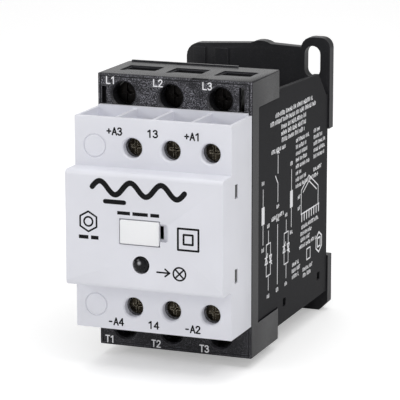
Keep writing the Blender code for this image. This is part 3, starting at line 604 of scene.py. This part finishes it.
TINTED_PLASTIC = build_clear()
lens_low, lens_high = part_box("led_lens")
lens_x, lens_z = (lens_low.x + lens_high.x) / 2 / MM, (lens_low.z + lens_high.z) / 2 / MM
# The pale spot up and to the left of the lens's middle is a painted highlight on the dome.
LENS_PAINT = finish_material(
    "smoke_polycarbonate", TINTED_PLASTIC,
    {"Colour": (0.006, 0.006, 0.007), "Roughness": 0.08, "Core Colour": (0.42, 0.42, 0.44),
     "Core Radius": 0.8 * MM, "Core X": (lens_x - 0.35) * MM, "Core Z": (lens_z + 0.6) * MM}, 0.001,
    Specular_IOR_Level=0.2)
LED_PAINT = finish_material(
    "green_diode_epoxy", TINTED_PLASTIC,
    {"Colour": (0.20, 0.55, 0.22), "Roughness": 0.2, "Core Colour": (0.7, 0.85, 0.6), "Core Radius": 0.6 * MM,
     "Core X": lens_x * MM, "Core Z": lens_z * MM}, 0.002)
lens_front = lens_low.y / MM
dome = np.radians(np.linspace(0.0, 90.0, 12))
lens_radius = np.concatenate([2.15 * np.sin(dome), [2.15, 2.2, 2.9, 2.9, 2.7, 1.95, 1.9, 1.8, 0.0]])
lens_depth = np.concatenate([0.95 * (1.0 - np.cos(dome)), [2.8, 2.9, 2.95, 3.6, 3.7, 3.7, 8.9, 9.0, 9.0]])
add_piece("status_light_pipe", turned_mesh("status_light_pipe", (lens_x, lens_front, lens_z), lens_radius,
                                           lens_depth), "casing", LENS_PAINT, ("led_lens",))
led_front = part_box("status_led")[0].y / MM
led_radius = np.concatenate([1.3 * np.sin(dome), [1.3, 1.5, 1.5, 0.0]])
led_depth = np.concatenate([1.3 * (1.0 - np.cos(dome)), [2.2, 2.25, 2.9, 2.9]])
add_piece("status_diode", turned_mesh("status_diode", (lens_x, led_front, lens_z), led_radius, led_depth),
          "casing", LED_PAINT, ("status_led",))


# --- Terminal block ------------------------------------------------------------------------
# The black block is glass-filled polyamide: its face shows pale flecks of fibre in a coarse
# spark-eroded grain, thinned towards the bottom as painted shade, and its edges are a little
# paler, partly rubbed and partly a painted highlight. White ink numbers its clamps.

block_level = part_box("front_cover")[1].y + 0.3 * MM
BLOCK_PAINT = finish_material(
    "black_glass_filled_polyamide", MOULDED_SKIN,
    {"Colour": (0.016, 0.016, 0.018), "Edge Colour": (0.38, 0.375, 0.42), "Grain Size": 0.28,
     "Grain Depth": 1.0, "Clouding": 0.5, "Edge Light": 0.28, "Roughness": 0.46, "Speckle": 1.0,
     "Front Only": 1.0, "Front Level": block_level + 0.1 * MM}, 0.04, Specular_IOR_Level=0.2)
softened("terminal_housing", 0.12, BLOCK_PAINT)
WHITE_INK = finish_material(
    "white_ink", PRINTED_INK,
    {"Colour": (0.84, 0.84, 0.86), "Face": (0.05, 0.05, 0.05), "Wear": 0.25, "Roughness": 0.5}, 0.004)
block_strokes = []
for terminal in ("l1", "l2", "l3", "t1", "t2", "t3"):
    low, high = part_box(f"{terminal}_screw")
    centre_x, centre_z = (low.x + high.x) / 2 / MM, (low.z + high.z) / 2 / MM
    left, start = (-5.0, 2.75) if centre_z > 0 else (-5.9, -5.0)
    block_strokes += drawn(sign(terminal.upper(), centre_x + left, centre_x + left + 2.6,
                                centre_z + start, centre_z + start + 1.85), 0.17)
ink("block_terminal_numbers", block_strokes, "front", block_level, "casing", WHITE_INK)


# --- Clamp screws --------------------------------------------------------------------------
# Captive machine screws with a combined slot and cross, M3.5 for power and M3 of nickel-plated
# steel for control. Both are painted near black as the shade down their driver holes, and the
# control screws' edges carry painted glints. Each turns in place in its driver hole.

HEAD_THICKNESS = 1.1
SLOT_DEPTH = 0.55
CROSS_DEPTH = 0.75
WEB_COLUMNS = 6


def clamp_screw(name, paint, thread_pitch, thread_depth):
    """Turn a clamp screw into the space of its CAD screw.

    The head is slightly domed. Its rings carry the slot and cross: four arms whose columns
    follow straight edges, so the angle of an edge column is the arc sine of half the slot
    over the radius, and the cross gets shallower outwards. The shank's radius rises and
    falls in a triangle wave of the depth over the pitch plus the turn, which makes the
    thread.
    """
    low, high = (np.array(corner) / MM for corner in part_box(f"{name}_screw"))
    head = (high[0] - low[0]) / 2
    shank = head * 0.58
    long = high[1] - low[1]
    half_slot = 0.13 * head
    cross_reach = 0.62 * head
    head_rings = head * np.array([0.0, 0.06, 0.12, 0.2, 0.3, 0.4, 0.5, 0.58, 0.615, 0.625, 0.68, 0.8,
                                  0.9, 0.96])
    bulge = 0.12 * (head_rings / head) ** 2
    rim = [head, head, head - 0.08, shank + 0.1]
    rim_depth = [0.30, HEAD_THICKNESS - 0.1, HEAD_THICKNESS, HEAD_THICKNESS]
    rows = np.arange(HEAD_THICKNESS + 0.1, long - 0.35, thread_pitch / 6)
    radius = np.concatenate([head_rings, rim, np.full(len(rows), shank), [shank - 0.35, 0.0]])
    depth = np.concatenate([bulge, rim_depth, rows, [long, long]])

    widest = np.sin(np.radians(40.0))
    edge = np.arcsin(np.clip(half_slot / np.maximum(np.minimum(radius, head), 1e-6), 0.0, widest))
    edge = np.where(depth > HEAD_THICKNESS - 0.05, edge[len(head_rings)], edge)[:, None]
    web = edge * 1.15 + np.linspace(0.0, 1.0, WEB_COLUMNS + 2)[None, 1:-1] * (np.pi / 2 - 2.3 * edge)
    arm_columns = np.concatenate([-edge, 0.0 * edge, edge, edge * 1.15, web, np.pi / 2 - edge * 1.15], axis=1)
    turn = np.concatenate([arm * np.pi / 2 + arm_columns for arm in range(4)], axis=1)
    across_arm = np.arange(arm_columns.shape[1]) < 3
    in_arm = np.tile(across_arm, 4)[None, :]
    in_slot = np.concatenate([across_arm & (arm % 2 == 1) for arm in range(4)])[None, :]

    on_head = (np.arange(len(radius)) < len(head_rings) + 1)[:, None]
    ring_radius = radius[:, None]
    cross_floor = CROSS_DEPTH - 0.35 * ring_radius / cross_reach
    pushed = np.where(on_head & in_slot, SLOT_DEPTH, 0.0)
    pushed = np.where(on_head & in_arm & (ring_radius < cross_reach), np.maximum(pushed, cross_floor), pushed)
    on_shank = (depth > HEAD_THICKNESS + 0.05)[:, None] & (depth < long - 0.3)[:, None]
    phase = (depth[:, None] / thread_pitch + turn / (2 * np.pi)) % 1.0
    grown = np.where(on_shank, thread_depth * (2.0 * np.abs(phase - 0.5) - 0.6), 0.0)
    centre = ((low[0] + high[0]) / 2, low[1], (low[2] + high[2]) / 2)
    mesh = turned_mesh(f"{name}_clamp_screw", centre, radius, depth, (turn, pushed, grown))
    add_piece(f"{name}_clamp_screw", mesh, f"{name}_screw", paint, (f"{name}_screw",))


def build_plated():
    """Plated metal: turning marks, a mottled film, dull stains, and bright edges, partly rubbed and partly
    painted glints.
    """
    tree, source, sink = new_group(
        "plated_metal", {"Roughness": 0.3, "Stain": 0.4, "Edge Light": 0.5},
        {"Colour": (0.6, 0.6, 0.6), "Dull": (0.3, 0.3, 0.3), "Edge Colour": (0.8, 0.8, 0.8)},
        [("Colour", "Color"), ("Roughness", "Float"), ("Height", "Float")])
    place = add_node(tree, "ShaderNodeTexCoord").outputs["Object"]
    mottle = add_node(tree, "ShaderNodeTexNoise", {"Vector": place}, Scale=500.0, Detail=5.0, Roughness=0.6)
    stretch = add_node(tree, "ShaderNodeMapping", {"Vector": place})
    stretch.inputs["Scale"].default_value = (1.0, 0.08, 1.0)
    lines = add_node(tree, "ShaderNodeTexNoise", {"Vector": stretch.outputs[0]}, Scale=6000.0, Detail=2.0)
    stained = remap(tree, mottle.outputs["Fac"], 0.42, 0.68, 0.0, 1.0)
    stain = add_node(tree, "ShaderNodeMath", {0: stained, 1: source.outputs["Stain"]}, operation="MULTIPLY")
    film = blend(tree, stain.outputs[0], source.outputs["Colour"], source.outputs["Dull"])
    # Bright edges: partly rubbed, partly painted glints where a rounded edge catches the light.
    rounded = add_node(tree, "ShaderNodeBevel", samples=4, Radius=0.12 * MM)
    plain = add_node(tree, "ShaderNodeNewGeometry")
    turn = add_node(tree, "ShaderNodeVectorMath",
                    {0: rounded.outputs["Normal"], 1: plain.outputs["Normal"]}, operation="DOT_PRODUCT")
    edge = add_node(tree, "ShaderNodeMath", {0: remap(tree, turn.outputs["Value"], 0.97, 0.85, 0.0, 1.0),
                                             1: source.outputs["Edge Light"]}, operation="MULTIPLY")
    colour = blend(tree, edge.outputs[0], film, source.outputs["Edge Colour"])
    uneven = remap(tree, mottle.outputs["Fac"], 0.3, 0.7, -0.05, 0.12)
    rough = add_node(tree, "ShaderNodeMath", {0: source.outputs["Roughness"], 1: uneven}, operation="ADD")
    tree.links.new(colour, sink.inputs["Colour"])
    tree.links.new(rough.outputs[0], sink.inputs["Roughness"])
    tree.links.new(lines.outputs["Fac"], sink.inputs["Height"])
    return tree


PLATED_METAL = build_plated()
# Near-black colour is painted shade, standing in for the dark down the power screws' holes.
SHADED_BLACK_STEEL = finish_material(
    "blackened_steel", PLATED_METAL,
    {"Colour": (0.014, 0.013, 0.012), "Dull": (0.006, 0.005, 0.005), "Edge Colour": (0.10, 0.09, 0.08),
     "Edge Light": 0.5, "Roughness": 0.40, "Stain": 0.7}, 0.006, Metallic=1.0)
# Near-black colour is painted shade down the control holes, and the pale edges are painted glints.
SHADED_NICKEL_STEEL = finish_material(
    "nickel_steel_painted_shade_and_glints", PLATED_METAL,
    {"Colour": (0.030, 0.025, 0.018), "Dull": (0.005, 0.004, 0.003), "Edge Colour": (0.92, 0.84, 0.68),
     "Edge Light": 0.8, "Roughness": 0.16, "Stain": 0.9}, 0.004, Metallic=1.0)
for terminal in ("l1", "l2", "l3", "t1", "t2", "t3"):
    clamp_screw(terminal, SHADED_BLACK_STEEL, 0.6, 0.28)
for terminal in CONTROL_SIGNS:
    clamp_screw(f"control_{terminal}", SHADED_NICKEL_STEEL, 0.5, 0.24)


# --- Shade sleeves -------------------------------------------------------------------------
# A thin black sleeve in each control driver hole is painted shade: it darkens the hole's wall.
# It runs from 2.4 mm behind the step's face to just in front of the screw's head.

SHADE_SLEEVE_COLUMNS = 40


def shade_sleeve(centre, inner, outer, front, rear):
    """Carry a four-cornered section round a line along Y, its inner front corner set back."""
    turn = np.linspace(0.0, 2.0 * np.pi, SHADE_SLEEVE_COLUMNS, endpoint=False)
    radius = np.array([outer, outer, inner, inner])
    depth = np.array([front, rear, rear, front + 0.25])
    points = np.stack([centre[0] + radius[:, None] * np.cos(turn), depth[:, None] + 0.0 * turn,
                       centre[1] + radius[:, None] * np.sin(turn)], axis=-1)
    ring = np.arange(SHADE_SLEEVE_COLUMNS)
    after = np.roll(ring, -1)
    rows = np.arange(len(radius))[:, None] * SHADE_SLEEVE_COLUMNS
    next_rows = np.roll(rows, -1)
    quads = np.stack([rows + ring, next_rows + ring, next_rows + after, rows + after], axis=-1)
    return points.reshape(-1, 3), quads.reshape(-1, 4)


shade_sleeve_points, shade_sleeve_faces = [], []
for terminal in CONTROL_SIGNS:
    low, high = (np.array(corner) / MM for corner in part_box(f"control_{terminal}_screw"))
    points, quads = shade_sleeve(((low[0] + high[0]) / 2, (low[2] + high[2]) / 2), 2.6, 2.73,
                         step_level / MM + 2.4, low[1] - 0.15)
    shade_sleeve_faces += (quads + len(points) * len(shade_sleeve_points)).tolist()
    shade_sleeve_points.append(points)
shade_sleeve_mesh = bpy.data.meshes.new("control_hole_shade_sleeves")
shade_sleeve_mesh.from_pydata((np.concatenate(shade_sleeve_points) * MM).tolist(), [], shade_sleeve_faces)
# Dark sleeves that stand in for shade inside the control holes.
add_piece("control_hole_shade_sleeves", shade_sleeve_mesh, "casing", BLOCK_PAINT)


# --- Clamp cages, contact bars and busbars -------------------------------------------------
# Folded zinc-plated cages draw the power wires up to tinned copper busbars, and smaller brass
# cages do the same for the control wires. All are pressed from strip and keep sheared edges.

ZINC_PAINT = finish_material(
    "zinc_plated_steel", PLATED_METAL,
    {"Colour": (0.56, 0.57, 0.56), "Dull": (0.30, 0.30, 0.27), "Roughness": 0.34, "Stain": 0.5}, 0.006,
    Metallic=1.0)
BRASS_PAINT = finish_material(
    "drawn_brass", PLATED_METAL,
    {"Colour": (0.68, 0.50, 0.24), "Dull": (0.34, 0.22, 0.10), "Roughness": 0.30, "Stain": 0.5}, 0.006,
    Metallic=1.0)
TINNED_PAINT = finish_material(
    "tinned_copper", PLATED_METAL,
    {"Colour": (0.70, 0.66, 0.60), "Dull": (0.42, 0.36, 0.30), "Roughness": 0.30, "Stain": 0.45}, 0.006,
    Metallic=1.0)
for terminal in ("l1", "l2", "l3", "t1", "t2", "t3"):
    softened(f"{terminal}_cage", 0.1, ZINC_PAINT, f"{terminal}_cage")
for terminal in CONTROL_SIGNS:
    softened(f"control_{terminal}_cage", 0.1, BRASS_PAINT, f"control_{terminal}_cage")
    softened(f"control_{terminal}_contact_bar", 0.1, BRASS_PAINT)
for phase in ("l1", "l3", "t1", "t3", "l2_t2"):
    softened(f"{phase}_busbar", 0.12, TINNED_PAINT)


# --- Side panels ---------------------------------------------------------------------------
# The side panels and cross wall behind the block are a second black moulding, smoother
# than the block. A wiring diagram and rows for small type are printed on the right one.

PANEL_PAINT = finish_material(
    "black_smooth_polyamide", MOULDED_SKIN,
    {"Colour": (0.011, 0.011, 0.013), "Edge Colour": (0.12, 0.12, 0.125), "Grain Size": 0.2,
     "Grain Depth": 0.6, "Clouding": 0.5, "Edge Light": 0.5, "Roughness": 0.52, "Speckle": 0.05}, 0.015,
    Specular_IOR_Level=0.07)
softened("rear_housing", 0.12, PANEL_PAINT)

diagram = []
INPUT_X = (-56.7, -32.9)
CONTACT_X = -44.5
PHASE_X = (-52.2, -44.6, -37.2)


def type_row(left, right, row, tall=1.0):
    """Add a row for small type, centred on its height, to the wiring diagram."""
    diagram.extend(small_type(type_draw, left, right, row - tall / 2, row + tall / 2))


# Headings across the top, then ratings in two columns.
for left, right, row in ((-46.6, -15.3, 30.4), (-50.7, -11.2, 28.5), (-41.7, -20.4, 26.5),
                         (-41.7, -20.4, 24.6), (-41.3, -21.5, 22.7)):
    type_row(left, right, row, 1.35)
for index, lengths in enumerate(((11.2, 5.4), (8.6, 8.4), (10.4, 10.1), (9.5, 10.3), (11.9, 9.6),
                                 (4.6, 0.0), (9.0, 7.0), (15.0, 4.0))):
    for start, length in zip((-29.0, -13.2), lengths):
        if length:
            type_row(start, start + length, 20.3 - 1.9 * index, 1.2)
type_row(-49.8, -38.2, 20.6, 1.25)
type_row(-49.5, -39.4, 1.7, 1.25)

# The auxiliary contact between its two inputs, each an upright line through a coil's box.
diagram += drawn([[(CONTACT_X, 18.9), (CONTACT_X, 13.9)],
                  [(CONTACT_X - 2.1, 13.4), (CONTACT_X, 11.0), (CONTACT_X, 5.8)]], 0.19)
for coil_x, top in zip(INPUT_X, (11.5, 12.6)):
    diagram += drawn([[(coil_x, top), (coil_x, -3.9)]], 0.17)
    diagram += drawn([[(coil_x, 6.6), (coil_x, 1.7)]], 1.15, True)

# The straight phase, and a pair of opposed thyristors in each switched phase.
diagram += drawn([[(PHASE_X[1], -0.8), (PHASE_X[1], -17.8)]], 0.19)
valve_z, valve_half = -9.1, 1.75
for phase in (PHASE_X[0], PHASE_X[2]):
    diagram += drawn([[(phase, -1.0), (phase, -4.6)],
                      box_line(phase - valve_half, phase + valve_half, -13.6, -4.6),
                      [(phase, -13.6), (phase, -17.8)]], 0.16)
    for x, up in ((phase - valve_half, 1.0), (phase + valve_half, -1.0)):
        foot = valve_z - 0.9 * up
        tip = valve_z + 0.9 * up
        diagram += drawn([[(x - 1.0, foot), (x + 1.0, foot), (x, tip), (x - 1.0, foot)],
                          [(x - 1.0, tip), (x + 1.0, tip)], [(x, tip), (x + 1.2, tip + 0.9 * up)]], 0.2)

# Small type at the ends of those lines.
for column, row in ((INPUT_X[0], 13.4), (INPUT_X[1], 14.5), (INPUT_X[0], -5.4), (INPUT_X[1], -5.4),
                    (PHASE_X[0], 0.6), (PHASE_X[1], 0.8), (PHASE_X[2], 0.6),
                    (PHASE_X[0], -19.4), (PHASE_X[1], -19.4), (PHASE_X[2], -19.4),
                    (CONTACT_X, 20.0), (CONTACT_X, 4.6)):
    type_row(column - 0.9, column + 0.9, row, 1.2)

# The heat sink from its end: a pointed outline, a second line inside it and teeth along its foot.
sink_low, sink_teeth = -2.2, -4.3
diagram += drawn([[(-24.2, sink_low), (-24.2, 4.8), (-17.4, 8.0), (-8.9, 3.4), (-8.9, sink_low)],
                  [(-22.6, 4.0), (-17.4, 6.4), (-10.4, 2.6)], [(-24.2, sink_low), (-8.0, sink_low)]], 0.19)
diagram += drawn([[(tooth, sink_low), (tooth, sink_teeth)] for tooth in np.linspace(-23.6, -8.4, 8)], 0.32)
type_row(-27.0, -25.2, 3.4, 1.2)
type_row(-27.0, -25.2, 0.2, 1.2)

# More rows below it, a hexagon round a square, and a plain square.
for left, right, row in ((-23.6, -8.9, -6.1), (-24.4, -14.4, -8.0), (-24.2, -16.4, -9.8),
                         (-25.4, -11.0, -11.7), (-31.6, -26.2, -15.4), (-31.9, -25.2, -17.2),
                         (-31.7, -26.4, -19.0), (-22.3, -14.0, -19.0), (-22.0, -15.2, -20.8)):
    type_row(left, right, row, 1.2)
diagram += drawn([circle((-7.8, -13.9), 3.0, 6, np.pi / 6), box_line(-9.1, -6.5, -15.2, -12.6)], 0.26)
diagram += drawn([box_line(-18.9, -15.7, -16.8, -13.6)], 0.2)
ink("side_wiring_diagram", diagram, "right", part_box("rear_housing")[1].x, "casing", WHITE_INK)


# --- Base and rail clip --------------------------------------------------------------------
# The base plate carries the relay on its rail. The clip slides in a channel behind the
# plate's lower edge and hooks under the rail's lip; both are the block's black polyamide.

BASE_PAINT = finish_material(
    "black_base_polyamide", MOULDED_SKIN,
    {"Colour": (0.013, 0.013, 0.015), "Edge Colour": (0.14, 0.14, 0.15), "Grain Size": 0.3,
     "Grain Depth": 0.6, "Clouding": 0.8, "Edge Light": 0.35, "Roughness": 0.40, "Speckle": 0.1}, 0.02,
    Specular_IOR_Level=0.28)
softened("mounting_base", 0.15, BASE_PAINT)
softened("rail_clip", 0.1, BASE_PAINT, "rail_clip")


# --- Rail clip spring ----------------------------------------------------------------------
# A coil of bright drawn wire stands between a peg on the base and the clip's window. Its end
# turns are closed up.

def coil_spring(name, low, high, turns, wire, paint):
    """Carry a round wire section along a helix whose pitch closes up at both ends.

    The first and last half turns lie flat, and the height rises evenly between them.
    """
    steps, sides = turns * 24, 8
    share = np.linspace(0.0, 1.0, steps + 1)
    coil_radius = (high[0] - low[0]) / 2 - wire
    closed = 0.5 / turns
    rise = np.clip((share - closed) / (1.0 - 2.0 * closed), 0.0, 1.0)
    bottom, top = low[2] + wire, high[2] - wire
    height = bottom + (top - bottom) * rise
    turn = 2.0 * np.pi * turns * share
    out = np.stack([np.cos(turn), np.sin(turn), 0.0 * turn], axis=1)
    path = out * coil_radius + np.stack([0.0 * turn, 0.0 * turn, height], axis=1)
    path += np.array([(low[0] + high[0]) / 2, (low[1] + high[1]) / 2, 0.0])
    around = np.linspace(0.0, 2.0 * np.pi, sides, endpoint=False)
    upright = np.array([0.0, 0.0, 1.0])
    rings = path[:, None] + wire * (np.cos(around)[None, :, None] * out[:, None]
                                    + np.sin(around)[None, :, None] * upright)
    count = len(path)
    ring = np.arange(sides)
    after = np.roll(ring, -1)
    base = sides * np.arange(count - 1)[:, None]
    quads = np.stack([base + ring, base + sides + ring, base + sides + after, base + after], axis=-1)
    last = (count - 1) * sides
    mesh = bpy.data.meshes.new(name)
    mesh.from_pydata((rings.reshape(-1, 3) * MM).tolist(), [],
                     quads.reshape(-1, 4).tolist() + [ring.tolist(), (last + ring[::-1]).tolist()])
    mesh.shade_smooth()
    return add_piece(name, mesh, "casing", paint, ("rail_clip_spring",))


SPRING_PAINT = finish_material(
    "bright_spring_wire", PLATED_METAL,
    {"Colour": (0.62, 0.62, 0.61), "Dull": (0.35, 0.34, 0.33), "Roughness": 0.24, "Stain": 0.3}, 0.003,
    Metallic=1.0)
spring_low, spring_high = (np.array(corner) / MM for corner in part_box("rail_clip_spring"))
spring_coil = coil_spring("rail_clip_coil", spring_low, spring_high, 5, 0.17, SPRING_PAINT)
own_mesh(spring_coil)


# --- Heat sink and power stack -------------------------------------------------------------
# An extruded aluminium sink with eleven fins cools two potted thyristor modules, pressed on a
# grey silicone pad by one zinc-plated screw each.

ALUMINIUM_PAINT = finish_material(
    "extruded_aluminium", PLATED_METAL,
    {"Colour": (0.66, 0.67, 0.68), "Dull": (0.48, 0.49, 0.50), "Roughness": 0.38, "Stain": 0.4}, 0.008,
    Metallic=1.0)
softened("heatsink", 0.15, ALUMINIUM_PAINT)
PAD_PAINT = finish_material(
    "silicone_pad", MOULDED_SKIN,
    {"Colour": (0.33, 0.36, 0.40), "Edge Colour": (0.42, 0.45, 0.48), "Grain Size": 0.4, "Grain Depth": 0.8,
     "Clouding": 0.6, "Edge Light": 0.2, "Roughness": 0.75}, 0.02)
softened("thermal_pad", 0.08, PAD_PAINT)
EPOXY_PAINT = finish_material(
    "moulding_epoxy", MOULDED_SKIN,
    {"Colour": (0.022, 0.022, 0.022), "Edge Colour": (0.09, 0.09, 0.09), "Grain Size": 0.18,
     "Grain Depth": 1.0, "Clouding": 0.4, "Edge Light": 0.4, "Roughness": 0.6, "Speckle": 0.1}, 0.02,
    Specular_IOR_Level=0.3)
for side in ("left", "right"):
    softened(f"thyristor_module_{side}", 0.4, EPOXY_PAINT, segments=3)
    softened(f"module_screw_{side}", 0.2, ZINC_PAINT)
    softened(f"optocoupler_{side}", 0.25, EPOXY_PAINT)


# --- Boards and what they carry ------------------------------------------------------------
# Two glass-epoxy boards under green solder mask: the control board behind the cover, with the
# auxiliary relay, and the power board with the optocouplers and varistors.

def build_board():
    """Solder mask over copper: tracks as bands of a cell pattern, slightly paler and raised."""
    tree, source, sink = new_group(
        "solder_mask", {"Roughness": 0.4}, {"Colour": (0.02, 0.2, 0.08), "Track": (0.04, 0.3, 0.12)},
        [("Colour", "Color"), ("Roughness", "Float"), ("Height", "Float")])
    place = add_node(tree, "ShaderNodeTexCoord").outputs["Object"]
    cells = add_node(tree, "ShaderNodeTexVoronoi", {"Vector": place}, distance="MANHATTAN", Scale=320.0)
    track = add_node(tree, "ShaderNodeMath", {0: cells.outputs["Distance"]}, operation="PINGPONG")
    track.inputs[1].default_value = 0.16
    mask = remap(tree, track.outputs[0], 0.06, 0.09, 0.0, 1.0)
    colour = blend(tree, mask, source.outputs["Track"], source.outputs["Colour"])
    weave = add_node(tree, "ShaderNodeTexNoise", {"Vector": place}, Scale=900.0, Detail=3.0)
    uneven = remap(tree, weave.outputs["Fac"], 0.3, 0.7, -0.06, 0.06)
    rough = add_node(tree, "ShaderNodeMath", {0: source.outputs["Roughness"], 1: uneven}, operation="ADD")
    tree.links.new(colour, sink.inputs["Colour"])
    tree.links.new(rough.outputs[0], sink.inputs["Roughness"])
    tree.links.new(mask, sink.inputs["Height"])
    return tree


BOARD_PAINT = finish_material(
    "green_solder_mask", build_board(),
    {"Colour": (0.015, 0.14, 0.06), "Track": (0.03, 0.24, 0.10), "Roughness": 0.38}, 0.02)
RELAY_PAINT = finish_material(
    "blue_relay_case", MOULDED_SKIN,
    {"Colour": (0.035, 0.12, 0.36), "Edge Colour": (0.12, 0.24, 0.5), "Grain Size": 0.25, "Grain Depth": 0.5,
     "Clouding": 0.3, "Edge Light": 0.4, "Roughness": 0.4}, 0.012)
VARISTOR_PAINT = finish_material(
    "varistor_coating", MOULDED_SKIN,
    {"Colour": (0.05, 0.16, 0.45), "Edge Colour": (0.12, 0.26, 0.55), "Grain Size": 0.5, "Grain Depth": 0.8,
     "Clouding": 0.4, "Edge Light": 0.2, "Roughness": 0.35}, 0.03)
for board in ("control_board", "power_board"):
    softened(board, 0.1, BOARD_PAINT)
softened("auxiliary_relay", 0.4, RELAY_PAINT, segments=3)
softened("board_link", 0.15, EPOXY_PAINT)
for side in ("left", "right"):
    softened(f"varistor_{side}", 0.9, VARISTOR_PAINT, segments=4)
